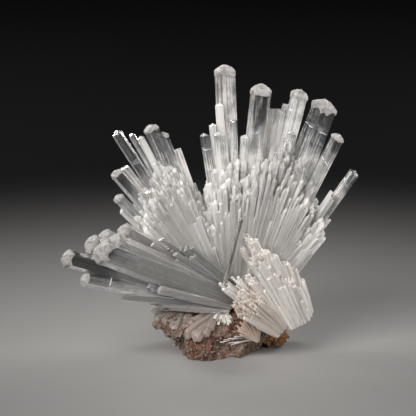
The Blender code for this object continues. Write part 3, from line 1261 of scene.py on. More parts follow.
# The one strand that keeps the prism's full length
TALLEST_STRAND = (0.5, 0.5)
# The inputs for the reach, evenly spaced from a layer's low side to its high side
REACH_INPUTS = tuple(f"Reach {number}" for number in range(1, 10))


class SprayGrower(Grower):
    """Sets out fine prisms that radiate from a focus, within a reach that follows their lean."""

    title = "spray_grower"

    def declare_inputs(self) -> None:
        """Name the inputs."""
        for name in ("Focus", "Low Side", "High Side"):
            self.take(name, "Vector")
        for name in (
            "Start", "Start Spread", "Reach", "Shortest", "Step Loss", "Edge Pitch", "Edge Loss",
            "Thin", "Thick", "Milky Until", "Clear From", "Uneven", *REACH_INPUTS,
        ):
            self.take(name, "Float")
        for name in ("Columns", "Rows", "Steps", "Seed"):
            self.take(name, "Int")
        self.take("Stock", "Collection")
        self.take("Material", "Material")

    def reach_curve(self, share: Socket) -> Socket:
        """Read the reach from the evenly spaced inputs.

        Args:
            share: the place between the low and the high side.

        Returns:
            The reach's socket.
        """
        work = self.work
        given = self.entry.outputs
        spaces = len(REACH_INPUTS) - 1
        value = given[REACH_INPUTS[0]]
        for step, name in enumerate(REACH_INPUTS[1:]):
            part = work.fit(share, step / spaces, (step + 1) / spaces, 0.0, 1.0)
            gap = work.maths("SUBTRACT", given[name], given[REACH_INPUTS[step]])
            value = work.maths("ADD", value, work.maths("MULTIPLY", part, gap))
        return value

    def directions(self) -> Socket:
        """Set out a grid of points that keep their lean and pitch as an attribute.

        Returns:
            The grid's socket.
        """
        work = self.work
        given = self.entry.outputs
        span = work.vector_maths("SUBTRACT", given["High Side"], given["Low Side"])
        wide, deep, _ = work.add("ShaderNodeSeparateXYZ", {0: span}).outputs
        grid = work.add(
            "GeometryNodeMeshGrid", {0: wide, 1: deep, 2: given["Columns"], 3: given["Rows"]}
        ).outputs["Mesh"]
        middle = work.vector_maths("ADD", given["High Side"], given["Low Side"])
        middle = work.vector_maths("MULTIPLY", middle, (0.5, 0.5, 0.5))
        here = work.add("GeometryNodeInputPosition").outputs[0]
        column = work.maths("DIVIDE", wide, given["Columns"])
        row = work.maths("DIVIDE", deep, given["Rows"])
        stray = work.add("ShaderNodeCombineXYZ", {
            0: work.maths("MULTIPLY", column, self.chance(-0.7, 0.7, 1)),
            1: work.maths("MULTIPLY", row, self.chance(-0.7, 0.7, 2)),
        }).outputs[0]
        angles = work.vector_maths("ADD", work.vector_maths("ADD", here, middle), stray)
        return work.add(
            "GeometryNodeStoreNamedAttribute",
            {"Geometry": grid, "Name": "angles", "Value": angles},
            data_type="FLOAT_VECTOR", domain="POINT",
        ).outputs[0]

    def full_reach(self, lean: Socket, pitch: Socket) -> Socket:
        """Work out how far from the focus each prism ends.

        Args:
            lean: each prism's lean.
            pitch: each prism's pitch.

        Returns:
            The reach's socket.
        """
        work = self.work
        given = self.entry.outputs
        low = work.add("ShaderNodeSeparateXYZ", {0: given["Low Side"]}).outputs[0]
        high = work.add("ShaderNodeSeparateXYZ", {0: given["High Side"]}).outputs[0]
        share = work.fit(lean, low, high, 0.0, 1.0)
        edge = work.maths("DIVIDE", work.maths("ABSOLUTE", pitch), given["Edge Pitch"])
        edge = work.maths("MULTIPLY", edge, given["Edge Loss"])
        step = work.maths("FLOOR", work.maths("MULTIPLY", share, given["Steps"]))
        kept = work.maths("SUBTRACT", 1.0, given["Step Loss"])
        reach = self.reach_curve(share)
        for factor in (
            given["Reach"], work.maths("SUBTRACT", 1.0, edge),
            self.chance(given["Shortest"], 1.0, 3), self.chance(kept, 1.0, 9, step),
        ):
            reach = work.maths("MULTIPLY", reach, factor)
        return reach

    def wire(self) -> None:
        """Set out directions on a grid, turn them into prisms and colour them."""
        work = self.work
        given = self.entry.outputs
        grid = self.directions()
        angles = work.add(
            "GeometryNodeInputNamedAttribute", {0: "angles"}, data_type="FLOAT_VECTOR"
        ).outputs[0]
        lean, pitch, _ = work.add("ShaderNodeSeparateXYZ", {0: angles}).outputs
        euler = work.add("ShaderNodeCombineXYZ", {
            0: work.maths("MULTIPLY", pitch, -1.0), 1: lean,
        }).outputs[0]
        turn = work.add("FunctionNodeEulerToRotation", {0: euler}).outputs[0]
        way = work.add(
            "FunctionNodeRotateVector", {"Vector": (0.0, 0.0, 1.0), "Rotation": turn}
        ).outputs[0]
        spread = work.maths("MULTIPLY", given["Start Spread"], self.chance(0.0, 1.0, 8))
        start = work.maths("ADD", given["Start"], spread)
        rooted = work.add("ShaderNodeVectorMath", {0: way, 3: start}, operation="SCALE")
        root = work.vector_maths("ADD", given["Focus"], rooted.outputs[0])
        moved = work.add("GeometryNodeSetPosition", {"Geometry": grid, "Position": root})
        placed = self.stand(
            moved.outputs[0], self.turned(turn, 0.0, 0.0, self.chance(-0.35, 0.35, 4)),
            self.chance(given["Thin"], given["Thick"], 5),
            work.maths("SUBTRACT", self.full_reach(lean, pitch), start),
        )
        shade = work.maths("MULTIPLY", given["Uneven"], self.chance(-1.0, 1.0, 7))
        marked = work.add(
            "GeometryNodeStoreNamedAttribute",
            {"Geometry": placed, "Name": "shade", "Value": shade},
            data_type="FLOAT", domain="INSTANCE",
        ).outputs[0]
        self.deliver(marked, self.clarity())

    def clarity(self) -> Socket:
        """Work out how clear each point is from its distance to the focus.

        Returns:
            The clarity's socket.
        """
        work = self.work
        given = self.entry.outputs
        here = work.add("GeometryNodeInputPosition").outputs[0]
        away = work.add(
            "ShaderNodeVectorMath", {0: here, 1: given["Focus"]}, operation="DISTANCE"
        ).outputs["Value"]
        shade = work.add("GeometryNodeInputNamedAttribute", {0: "shade"}, data_type="FLOAT")
        clear = work.fit(away, given["Milky Until"], given["Clear From"], 0.0, 1.0)
        return work.maths("ADD", clear, shade.outputs[0])


class DruseGrower(Grower):
    """Covers a surface with small crystals that stand out of it."""

    title = "druse_grower"

    def declare_inputs(self) -> None:
        """Name the inputs."""
        for name in ("Density", "Thin", "Thick", "Short", "Long", "Lowest", "Tilt", "Clarity"):
            self.take(name, "Float")
        self.take("Seed", "Int")
        self.take("Stock", "Collection")
        self.take("Material", "Material")

    def wire(self) -> None:
        """Scatter points, stand a small prism on each and keep those above the ground."""
        work = self.work
        given = self.entry.outputs
        height = work.add(
            "ShaderNodeSeparateXYZ", {0: work.add("GeometryNodeInputPosition").outputs[0]}
        ).outputs[2]
        above = work.maths("GREATER_THAN", height, given["Lowest"])
        scattered = work.add(
            "GeometryNodeDistributePointsOnFaces",
            {
                "Mesh": given["Geometry"], "Selection": above, "Density": given["Density"],
                "Seed": given["Seed"],
            },
        )
        turn = self.turned(
            scattered.outputs["Rotation"],
            work.maths("MULTIPLY", given["Tilt"], self.chance(-1.0, 1.0, 1)),
            work.maths("MULTIPLY", given["Tilt"], self.chance(-1.0, 1.0, 2)),
            self.chance(0.0, math.tau, 3),
        )
        placed = self.stand(
            scattered.outputs["Points"], turn, self.chance(given["Thin"], given["Thick"], 4),
            self.chance(given["Short"], given["Long"], 5),
        )
        self.deliver(placed, given["Clarity"])


@dataclass
class FineLayer:
    """One layer of fine prisms in a spray, whose reach may change in steps along its lean."""

    name: str
    leans: Pair
    pitches: Pair
    grid: tuple[int, int]
    widths: Pair
    reach: float
    shortest: float
    seed: int
    uneven: float = 0.35
    step_loss: float = 0.0
    steps: int = 17


@dataclass
class CrystalSpray:
    """A spray of prisms that radiate from one focus."""

    node: str
    focus: Point
    start: float
    singles: tuple[Single, ...]
    reach: Table
    leans: tuple[float, float, int]
    pitches: tuple[float, float, int]
    front_share: float
    back_share: float
    widths: Pair
    seed: int
    clear_range: Pair
    layers: tuple[FineLayer, ...] = ()
    slot: Slot = Slot.CLEAR
    large_finish: Finish = LARGE_PRISMS
    fine_finish: Finish = FINE_PRISMS
    roll_spread: float = 24.0
    core_share: float = 0.74
    shortest_strand: float = 0.7
    twin_from_width: float = 3.0
    twin_to_clarity: float = -0.2
    crust_finish: Finish = FROSTED_CRUST
    start_spread: float = 1.0
    grain_density: float = 1600000.0
    grain_widths: Pair = (0.2, 0.5)
    grain_lengths: Pair = (0.15, 0.5)
    prisms: list[Prism] = field(default_factory=list)

    def title(self) -> str:
        """Give the words that this spray's pieces are named with."""
        return type(self).__name__

    def centre(self) -> Vector:
        """Give the focus in space."""
        return DISPLAY.place(*self.focus)

    def lay_out(self) -> None:
        """Work out the prisms that the spray's solid has, in the same order of chance."""
        draw = random.Random(self.seed)
        self.lay_out_singles(draw)
        self.lay_out_grid(draw)

    def lay_out_singles(self, draw: random.Random) -> None:
        """Work out the listed prisms.

        Args:
            draw: the source of chance.
        """
        focus = self.centre()
        for single in self.singles:
            tip = DISPLAY.place(single.right, single.up, single.depth)
            root = focus + (tip - focus).normalized() * self.start
            roll = draw.uniform(-0.3, 0.3)
            self.prisms.append(Prism(
                root, tip, single.width, roll, single.extra_clarity, single.tip, single.veils,
                strips=single.strips, composite=single.composite,
            ))

    def lay_out_grid(self, draw: random.Random) -> None:
        """Work out the shorter prisms that fill the spray.

        Args:
            draw: the source of chance.
        """
        focus = self.centre()
        first_lean, last_lean, lean_count = self.leans
        first_pitch, last_pitch, pitch_count = self.pitches
        lean_step = (last_lean - first_lean) / (lean_count - 1)
        pitch_step = (last_pitch - first_pitch) / (pitch_count - 1)
        side = random.Random(self.seed + 500)
        for row in range(pitch_count):
            for column in range(lean_count):
                lean = first_lean + lean_step * (column + draw.uniform(-0.35, 0.35))
                pitch = first_pitch + pitch_step * (row + draw.uniform(-0.3, 0.3))
                share = self.front_share if pitch < 0.0 else self.back_share
                edge = abs(pitch) / max(abs(first_pitch), abs(last_pitch))
                reach = read_off(self.reach, lean) * (1.0 - (1.0 - share) * edge)
                reach *= draw.uniform(0.8, 1.0)
                way = heading(lean, pitch)
                width = draw.uniform(*self.widths)
                roll = math.radians(draw.uniform(-self.roll_spread, self.roll_spread))
                ending = side.choice((Tip.POINT, Tip.BROKEN))
                self.prisms.append(Prism(
                    focus + way * self.start, focus + way * reach, width, roll,
                    side.uniform(-0.25, 0.15), ending, strips=3, composite=True,
                ))

    def build(self, stock: PrismStock, grower: SprayGrower, druse: DruseGrower) -> None:
        """Build and dress every piece of the spray.

        Args:
            stock: the small prisms.
            grower: the tree that sets them out.
            druse: the tree that stands them on a surface.
        """
        self.lay_out()
        self.build_large()
        self.build_crusts(stock, druse)
        self.build_veils()
        for layer in self.layers:
            self.build_layer(layer, stock, grower)

    def build_large(self) -> None:
        """Build the large prisms, with twins beside them, and the milky core."""
        draw = random.Random(self.seed + 1000)
        draft = MeshDraft()
        focus = self.centre()
        self.add_core(draft)
        for prism in self.prisms:
            parts = self.strands_of(prism, draw) if prism.composite else (
                [prism] + self.twins_of(prism, draw)
            )
            for part in parts:
                part.add_to(draft, focus, self.clear_range, draw)
        piece = draft.to_object(f"{self.title()}_prisms", self.large_finish)
        declare(piece, self.slot, self.node)

    def strands_of(self, prism: Prism, draw: random.Random) -> list[Prism]:
        """Make the thin prisms that a composite one is bundled from.

        Args:
            prism: the composite prism.
            draw: the source of chance.

        Returns:
            The strands, which part a little towards their tips.
        """
        strands = []
        turn = prism.frame().to_3x3()
        along = (prism.tip - prism.root).normalized()
        cell = prism.width / 4
        for column, row in STRAND_PLACES:
            x = (column + draw.uniform(-0.25, 0.25)) * cell
            y = (row + draw.uniform(-0.25, 0.25)) * cell * prism.depth_share
            shift = turn @ Vector((x, y, 0.0))
            tallest = (column, row) == TALLEST_STRAND
            share = 1.0 if tallest else draw.uniform(self.shortest_strand, 0.98)
            root = prism.root + shift * prism.root_share
            strands.append(Prism(
                root, root + along * prism.length * share + shift * (1 - prism.root_share),
                cell * draw.uniform(0.95, 1.6), draw.uniform(-0.5, 0.5),
                prism.extra_clarity + draw.uniform(-0.2, 0.2),
                draw.choice((Tip.POINT, Tip.BROKEN, Tip.BROKEN)), strips=1, tip_share=0.45,
            ))
        return strands

    def twins_of(self, prism: Prism, draw: random.Random) -> list[Prism]:
        """Make the thin prisms that grew along a large one and stop short of its tip.

        Args:
            prism: the large prism.
            draw: the source of chance.

        Returns:
            The twins.
        """
        twins = []
        if prism.width < self.twin_from_width or prism.extra_clarity > self.twin_to_clarity:
            return twins
        turn = prism.frame().to_3x3()
        for _ in range(2):
            angle = draw.uniform(0.0, math.tau)
            away = Vector((math.cos(angle), math.sin(angle) * prism.depth_share, 0.0))
            shift = turn @ (away * prism.width * 0.36)
            length = prism.length * draw.uniform(0.66, 0.93)
            along = (prism.tip - prism.root).normalized()
            root = prism.root + shift
            width = prism.width * draw.uniform(0.24, 0.4)
            twins.append(Prism(
                root, root + along * length, width, draw.uniform(-0.4, 0.4),
                prism.extra_clarity - draw.uniform(0.0, 0.2), Tip.BROKEN, strips=2,
            ))
        return twins

    def add_core(self, draft: MeshDraft) -> None:
        """Add the milky middle of the spray, below its prisms' tips.

        Args:
            draft: where it goes.
        """
        focus = self.centre()
        first_lean, last_lean, _ = self.leans
        first_pitch, last_pitch, _ = self.pitches
        middle_pitch = (first_pitch + last_pitch) / 2
        edges = (
            (first_lean, middle_pitch), (first_lean * 0.7 + last_lean * 0.3, first_pitch),
            (first_lean * 0.3 + last_lean * 0.7, first_pitch), (last_lean, middle_pitch),
            (first_lean * 0.3 + last_lean * 0.7, last_pitch),
            (first_lean * 0.7 + last_lean * 0.3, last_pitch),
        )
        rings, spots = [], []
        for share, spread in ((0.0, 0.98), (0.4, 1.0), (0.8, 0.98), (1.0, 0.7), (1.04, 0.1)):
            ring = []
            for lean, pitch in edges:
                centre_lean = (first_lean + last_lean) / 2
                way = heading(
                    centre_lean + (lean - centre_lean) * spread,
                    middle_pitch + (pitch - middle_pitch) * spread,
                )
                reach = read_off(self.reach, lean) * self.core_share
                ring.append(focus + way * (self.start + (reach - self.start) * share))
            rings.append(ring)
            spots.append([(index * 9.0, share * 40.0) for index in range(len(ring))])
        draft.add_rings(rings, [-0.4] * len(rings), spots)

    def build_crusts(self, stock: PrismStock, druse: DruseGrower) -> None:
        """Build the frosted crusts over the ends that have one, with grains on them.

        Args:
            stock: the small prisms.
            druse: the tree that stands them on a surface.
        """
        draw = random.Random(self.seed + 2000)
        draft = MeshDraft()
        for prism in self.prisms:
            if prism.ending is Tip.CRUST:
                Crust(prism).add_to(draft, draw)
        if draft.points:
            piece = draft.to_object(f"{self.title()}_crusts", self.crust_finish)
            grains = druse.grow(piece.data.copy(), f"{self.title()}_grains", {
                "Density": self.grain_density,
                "Thin": self.grain_widths[0] * MM, "Thick": self.grain_widths[1] * MM,
                "Short": self.grain_lengths[0] * MM, "Long": self.grain_lengths[1] * MM,
                "Lowest": 0.0, "Tilt": 0.6, "Clarity": 0.3, "Seed": self.seed,
                "Stock": stock.collection, "Material": self.crust_finish.material(),
            })
            declare(piece, self.slot, self.node)
            declare(grains, self.slot, self.node)

    def build_veils(self) -> None:
        """Build the cracks inside the clear prisms that have them."""
        draw = random.Random(self.seed + 3000)
        draft = MeshDraft()
        for prism in self.prisms:
            for share in prism.veils:
                Veil(prism, share).add_to(draft, draw)
        if draft.points:
            piece = draft.to_object(f"{self.title()}_veils", INNER_VEILS)
            declare(piece, self.slot, self.node)

    def build_layer(self, layer: FineLayer, stock: PrismStock, grower: SprayGrower) -> None:
        """Set out one layer of fine prisms.

        Args:
            layer: what the layer is like.
            stock: the small prisms.
            grower: the tree that sets them out.
        """
        low = Vector((math.radians(layer.leans[0]), math.radians(layer.pitches[0]), 0.0))
        high = Vector((math.radians(layer.leans[1]), math.radians(layer.pitches[1]), 0.0))
        spaces = len(REACH_INPUTS) - 1
        values: dict[str, object] = {}
        for step, name in enumerate(REACH_INPUTS):
            lean = layer.leans[0] + (layer.leans[1] - layer.leans[0]) * step / spaces
            values[name] = read_off(self.reach, lean) * MM
        edge_share = self.front_share if layer.pitches[1] < 0.0 else self.back_share
        values.update({
            "Focus": self.centre() * MM, "Low Side": low, "High Side": high,
            "Start": self.start * MM, "Start Spread": self.start_spread * MM,
            "Reach": layer.reach, "Shortest": layer.shortest,
            "Step Loss": layer.step_loss, "Steps": layer.steps,
            "Edge Pitch": math.radians(max(abs(pitch) for pitch in self.pitches[:2])),
            "Edge Loss": 1.0 - edge_share,
            "Thin": layer.widths[0] * MM, "Thick": layer.widths[1] * MM,
            "Milky Until": self.clear_range[0] * MM, "Clear From": self.clear_range[1] * MM,
            "Columns": layer.grid[0], "Rows": layer.grid[1],
            "Seed": layer.seed, "Uneven": layer.uneven,
            "Stock": stock.collection, "Material": self.fine_finish.material(),
        })
        seedbed = bpy.data.meshes.new("seedbed")
        piece = grower.grow(seedbed, f"{self.title()}_{layer.name}", values)
        declare(piece, self.slot, self.node)


class RightSpray(CrystalSpray):
    """The tall fan with the bright top prism."""

    def __init__(self) -> None:
        """Set the sizes."""
        super().__init__(
            node="right_spray", focus=(4.7, 5.0, 3.0), start=14.0,
            singles=(
                Single(0.8, 95.8, 8.0, 6.7, -0.4, Tip.CRUST),
                Single(-1.0, 83.2, 3.6, 2.9, -1.0),
                Single(13.0, 89.0, -2.0, 6.7, 0.1, Tip.CRUST, (0.78,), strips=2),
                Single(18.6, 82.0, 3.0, 5.2, -0.4, Tip.BROKEN),
                Single(22.7, 83.3, 4.0, 5.0, -0.35, Tip.BROKEN),
                Single(26.0, 87.3, 2.0, 5.7, -0.45, Tip.CRUST),
                Single(34.6, 83.8, 0.0, 7.3, 0.15, Tip.CRUST, (0.86, 0.8), strips=3),
                Single(38.6, 72.5, -3.0, 4.2, 0.2, Tip.CRUST, (0.84,)),
                Single(44.2, 60.7, -5.0, 3.5, 0.5, Tip.POINT, (0.9,)),
                Single(3.7, 77.7, -3.0, 2.6, 0.0),
                Single(-0.7, 73.7, -3.5, 4.0, 0.0),
                Single(-3.3, 76.3, 1.0, 2.2, -0.4),
                Single(-6.0, 73.2, 0.0, 2.8, 0.5, Tip.POINT, (0.9,)),
                Single(7.6, 72.7, -2.0, 3.2, -0.2),
                Single(18.2, 64.3, -9.0, 4.4, -0.3, Tip.BROKEN, composite=True),
                Single(27.0, 59.5, -10.0, 4.6, -0.3, Tip.BROKEN, composite=True),
                Single(36.6, 53.6, -8.0, 3.6, -0.1, Tip.BROKEN, composite=True),
                Single(38.4, 49.6, -3.0, 3.4, -0.1, Tip.BROKEN, composite=True),
            ),
            reach=((-12, 54), (-8, 66), (-3, 69), (3, 65), (10, 75), (17, 76), (24, 64), (38, 55)),
            leans=(-10.0, 36.0, 8), pitches=(-13.0, 30.0, 6), front_share=0.94, back_share=0.84,
            widths=(5.0, 7.2), seed=11, clear_range=(58.0, 80.0),
            layers=(
                FineLayer(
                    "curtain", leans=(-11, 38), pitches=(-17.5, -15.5), grid=(150, 5),
                    widths=(0.7, 1.4), reach=1.0, shortest=0.58, seed=104, uneven=0.2,
                    step_loss=0.26,
                ),
                FineLayer(
                    "front", leans=(-11, 38), pitches=(-16, -5), grid=(66, 12), widths=(1.1, 2.3),
                    reach=1.0, shortest=0.74, seed=101, uneven=0.2, step_loss=0.2,
                ),
                FineLayer(
                    "middle", leans=(-11, 37), pitches=(-6, 12), grid=(60, 13), widths=(1.2, 2.5),
                    reach=0.98, shortest=0.78, seed=102, uneven=0.3, step_loss=0.14,
                ),
                FineLayer(
                    "back", leans=(-9, 35), pitches=(8, 29), grid=(52, 13), widths=(1.3, 2.8),
                    reach=0.96, shortest=0.76, seed=103, uneven=0.3,
                ),
            ),
        )


class LeftSpray(CrystalSpray):
    """The fan that leans up and to the left."""

    def __init__(self) -> None:
        """Set the sizes."""
        super().__init__(
            node="left_spray", focus=(4.3, 12.7, 1.0), start=10.0,
            singles=(
                Single(-35.2, 73.7, -6.0, 3.6, 0.5, Tip.POINT, (0.8,)),
                Single(-30.2, 73.0, -2.0, 2.2, 0.0),
                Single(-27.2, 72.0, -5.0, 2.4, -0.8),
                Single(-24.0, 75.6, -3.0, 4.6, 0.4, Tip.CRUST),
                Single(-19.9, 73.2, -1.0, 3.4, 0.1, Tip.CRUST),
                Single(-15.2, 68.0, 1.0, 3.2, -0.1, Tip.BROKEN),
                Single(-35.4, 60.4, -9.0, 4.0, 0.5, Tip.CRUST),
                Single(-32.6, 62.0, -5.0, 3.2, 0.1, Tip.BROKEN),
                Single(-35.0, 52.3, -6.0, 3.6, 0.5, Tip.CRUST),
                Single(-33.6, 48.6, -2.0, 3.6, 0.0),
                Single(-22.0, 63.0, -12.0, 4.4, -0.6, Tip.BROKEN, composite=True),
                Single(-9.6, 55.4, 0.0, 3.2, -0.2, Tip.BROKEN, composite=True),
            ),
            reach=((-49, 44), (-43, 53), (-36, 59), (-28, 65), (-22, 62), (-18, 46), (-12, 36)),
            leans=(-46.0, -15.0, 7), pitches=(-14.0, 34.0, 5), front_share=0.84, back_share=0.86,
            widths=(4.0, 5.8), seed=23, clear_range=(48.0, 70.0),
            layers=(
                FineLayer(
                    "curtain", leans=(-48, -13), pitches=(-18.5, -16.5), grid=(106, 5),
                    widths=(0.7, 1.4), reach=1.0, shortest=0.64, seed=114, uneven=0.15,
                    step_loss=0.1, steps=11,
                ),
                FineLayer(
                    "front", leans=(-48, -13), pitches=(-17, -5), grid=(46, 12), widths=(1.1, 2.2),
                    reach=1.0, shortest=0.8, seed=111, uneven=0.15, step_loss=0.08, steps=11,
                ),
                FineLayer(
                    "middle", leans=(-47, -14), pitches=(-6, 12), grid=(46, 13), widths=(1.2, 2.4),
                    reach=0.98, shortest=0.8, seed=112, uneven=0.25, step_loss=0.06, steps=11,
                ),
                FineLayer(
                    "back", leans=(-45, -14), pitches=(8, 33), grid=(38, 14), widths=(1.3, 2.8),
                    reach=0.95, shortest=0.76, seed=113, uneven=0.3,
                ),
            ),
        )


class LowerLeftSpray(CrystalSpray):
    """The nearly parallel bundle that points to the left and a little forwards."""

    def __init__(self) -> None:
        """Set the sizes."""
        super().__init__(
            node="lower_left_spray", focus=(13.3, 14.0, -4.0), start=12.0,
            singles=(
                Single(-51.7, 32.5, -28.0, 5.7, 0.6, Tip.CRUST),
                Single(-45.9, 25.1, -26.0, 4.6, 0.7, Tip.CRUST, (0.82,)),
                Single(-41.0, 35.0, -27.5, 8.4, 0.0, Tip.CRUST, strips=1),
                Single(-37.2, 37.6, -24.5, 7.6, 0.0, Tip.CRUST, strips=1),
                Single(-44.2, 37.2, -24.0, 6.6, -0.1, Tip.CRUST),
                Single(-40.2, 39.2, -19.5, 6.4, -0.1, Tip.CRUST),
                Single(-33.8, 41.6, -15.0, 5.6, -0.2, Tip.CRUST),
                Single(-22.5, 37.0, -19.0, 5.6, -0.2, Tip.BROKEN, composite=True),
                Single(-13.5, 35.5, -17.5, 5.0, -0.2, Tip.BROKEN, composite=True),
                Single(-24.0, 24.0, -21.0, 5.6, -0.2, Tip.BROKEN, composite=True),
                Single(-33.4, 19.4, -22.0, 2.6, 0.1, Tip.BROKEN),
            ),
            reach=((-84, 40), (-76, 52), (-66, 54), (-58, 48)), leans=(-80.0, -60.0, 4),
            pitches=(-15.0, 34.0, 6), front_share=0.96, back_share=0.80, widths=(5.0, 6.6),
            seed=37, clear_range=(46.0, 66.0),
            layers=(
                FineLayer(
                    "middle", leans=(-82, -60), pitches=(-12, 12), grid=(24, 14),
                    widths=(1.2, 2.6), reach=0.92, shortest=0.62, seed=122,
                ),
                FineLayer(
                    "back", leans=(-80, -60), pitches=(10, 33), grid=(18, 13), widths=(1.6, 3.4),
                    reach=0.90, shortest=0.60, seed=123,
                ),
            ),
            large_finish=PLATE_PRISMS, crust_finish=PLATE_CRUST, core_share=0.5,
        )


# How far the silky fibres reach from their focus, by their lean to the right
UPPER_EDGE: Table = (
    (-31, 47), (-30, 55), (-28.5, 64), (-27, 69), (-25.6, 67), (-23.5, 60), (-21, 55), (-17.5, 51),
    (-16, 40),
)
LOWER_EDGE: Table = ((-54, 37), (-48, 40), (-43, 41), (-38, 40), (-34, 32))
# A blade this wide is one grooved prism; a narrower one is a bundle
WIDE_BLADE = 5.0


class SilkyLobe(CrystalSpray):
    """A lobe of satin fibres with a few blades in it, and no shorter prisms between."""

    def lay_out_grid(self, draw: random.Random) -> None:
        """Leave the fibres to the layers; narrow blades are bundles, wide ones are grooved.

        Args:
            draw: the source of chance, which isn't needed here.
        """
        for prism in self.prisms:
            prism.composite = prism.width < WIDE_BLADE
            prism.strips = 6
            prism.groove = 0.045
            prism.root_share = 0.9
            prism.tip_share = 0.6


class UpperLobe(SilkyLobe):
    """The large silky lobe at the lower right, whose blades point up to the left."""

    def __init__(self) -> None:
        """Set the sizes."""
        super().__init__(
            node="front_fan", focus=(37.2, -14.0, 4.3), start=32.0,
            singles=(
                Single(15.5, 25.0, -13.5, 9.0, -0.3),
                Single(20.5, 25.0, -10.0, 8.0, -0.3),
                Single(5.6, 36.2, -17.0, 2.4, -0.3),
                Single(7.0, 40.0, -16.5, 2.8, -0.3),
                Single(9.6, 38.4, -17.5, 3.2, -0.3),
                Single(13.2, 34.8, -18.0, 3.4, -0.3),
                Single(15.8, 33.4, -17.0, 3.8, -0.3),
                Single(19.2, 30.6, -14.0, 4.2, -0.3),
                Single(22.4, 28.4, -10.5, 4.4, -0.3),
                Single(9.6, 32.0, -19.0, 3.2, -0.3),
                Single(24.6, 24.6, -8.0, 4.8, -0.3),
                Single(15.0, 27.0, -18.0, 4.0, -0.3),
                Single(19.6, 24.0, -15.5, 4.4, -0.3),
            ),
            reach=UPPER_EDGE, leans=(-31.0, -16.0, 0), pitches=(-24.0, -11.0, 0), front_share=0.96,
            back_share=0.96, widths=(4.0, 5.4), seed=41, clear_range=(60.0, 90.0),
            layers=(
                FineLayer(
                    "body", leans=(-31, -16), pitches=(-24, -11), grid=(44, 18), widths=(0.6, 1.2),
                    reach=0.99, shortest=0.92, seed=131, uneven=0.2,
                ),
                FineLayer(
                    "left", leans=(-31, -26), pitches=(-23.5, -21), grid=(24, 7),
                    widths=(0.5, 1.0), reach=1.0, shortest=0.92, seed=133, uneven=0.2,
                ),
                FineLayer(
                    "face", leans=(-27, -21), pitches=(-22.5, -18.5), grid=(28, 9),
                    widths=(0.5, 1.0), reach=1.0, shortest=0.92, seed=134, uneven=0.2,
                ),
                FineLayer(
                    "right", leans=(-22, -16), pitches=(-20, -15), grid=(28, 9), widths=(0.5, 1.0),
                    reach=1.0, shortest=0.92, seed=135, uneven=0.2,
                ),
            ),
            slot=Slot.SILKY, large_finish=SILKY_FIBRES, fine_finish=SILKY_FIBRES, core_share=0.8,
            start_spread=2.5, shortest_strand=0.96,
        )


class LowerLobe(SilkyLobe):
    """The fine white needles under the large lobe, with the thin rod across the front."""

    def __init__(self) -> None:
        """Set the sizes."""
        super().__init__(
            node="front_fan", focus=(29.7, -1.0, -1.0), start=16.5,
            singles=(
                Single(-0.8, 24.2, -17.5, 3.4, -0.3),
                Single(9.0, 21.5, -15.5, 6.0, -0.3),
                Single(3.4, 26.0, -18.5, 3.0, -0.3),
                Single(8.2, 26.4, -19.0, 3.0, -0.3),
                Single(5.6, 21.2, -19.5, 2.6, -0.3),
                Single(7.4, 16.6, -19.5, 2.2, -0.3),
                Single(6.8, 19.0, -20.0, 2.6, -0.3),
            ),
            reach=LOWER_EDGE, leans=(-52.0, -34.0, 0), pitches=(-33.0, -18.0, 0), front_share=0.96,
            back_share=0.96, widths=(4.0, 5.4), seed=43, clear_range=(50.0, 80.0),
            layers=(
                FineLayer(
                    "body", leans=(-53, -36), pitches=(-34, -19), grid=(34, 14), widths=(0.5, 0.9),
                    reach=0.98, shortest=0.74, seed=132, uneven=0.2,
                ),
                FineLayer(
                    "face", leans=(-54, -36), pitches=(-30.5, -25), grid=(44, 9),
                    widths=(0.35, 0.8), reach=1.0, shortest=0.84, seed=136, uneven=0.3,
                ),
            ),
            slot=Slot.SILKY, large_finish=SILKY_FIBRES, fine_finish=STAINED_NEEDLES,
            core_share=0.6, start_spread=2.5, shortest_strand=0.84,
        )

    def build(self, stock: PrismStock, grower: SprayGrower, druse: DruseGrower) -> None:
        """Build the needles, then the clear rod.

        Args:
            stock: the small prisms.
            grower: the tree that sets them out.
            druse: the tree that stands them on a surface.
        """
        super().build(stock, grower, druse)
        root = DISPLAY.place(0.6, 22.8, -17.2)
        rod = Prism(root, DISPLAY.place(6.2, 44.9, -20.0), 1.3, 0.0, 0.9, Tip.POINT, strips=2)
        draft = MeshDraft()
        rod.add_to(draft, self.centre(), self.clear_range, random.Random(self.seed))
        declare(draft.to_object("front_rod", SMOKY_ROD), Slot.CLEAR, self.node)


class RockFan(CrystalSpray):
    """A small fan of fibres on the rock, with no large prisms."""

    def build(self, stock: PrismStock, grower: SprayGrower, druse: DruseGrower) -> None:
        """Build the fibres only.

        Args:
            stock: the small prisms.
            grower: the tree that sets them out.
            druse: the tree that stands them on a surface; a fan has none.
        """
        for layer in self.layers:
            self.build_layer(layer, stock, grower)


class PinkRosette(RockFan):
    """The pinkish brown fibres on the front of the rock."""

    def __init__(self) -> None:
        """Set the sizes."""
        super().__init__(
            node="matrix", focus=(12.2, 3.4, -10.0), start=0.5, singles=(),
            reach=((-62, 9.0), (-40, 10.5), (-20, 11.0), (0, 9.6), (14, 7.6)),
            leans=(-62.0, 14.0, 0), pitches=(-26.0, 4.0, 0), front_share=1.0, back_share=1.0,
            widths=(0.3, 0.6), seed=51, clear_range=(60.0, 90.0),
            layers=(
                FineLayer(
                    "fibres", leans=(-62, 6), pitches=(-26, -4), grid=(32, 4), widths=(0.25, 0.5),
                    reach=1.0, shortest=0.6, seed=141, uneven=0.6,
                ),
            ),
            slot=Slot.SILKY, fine_finish=PINK_FIBRES, start_spread=0.5,
        )


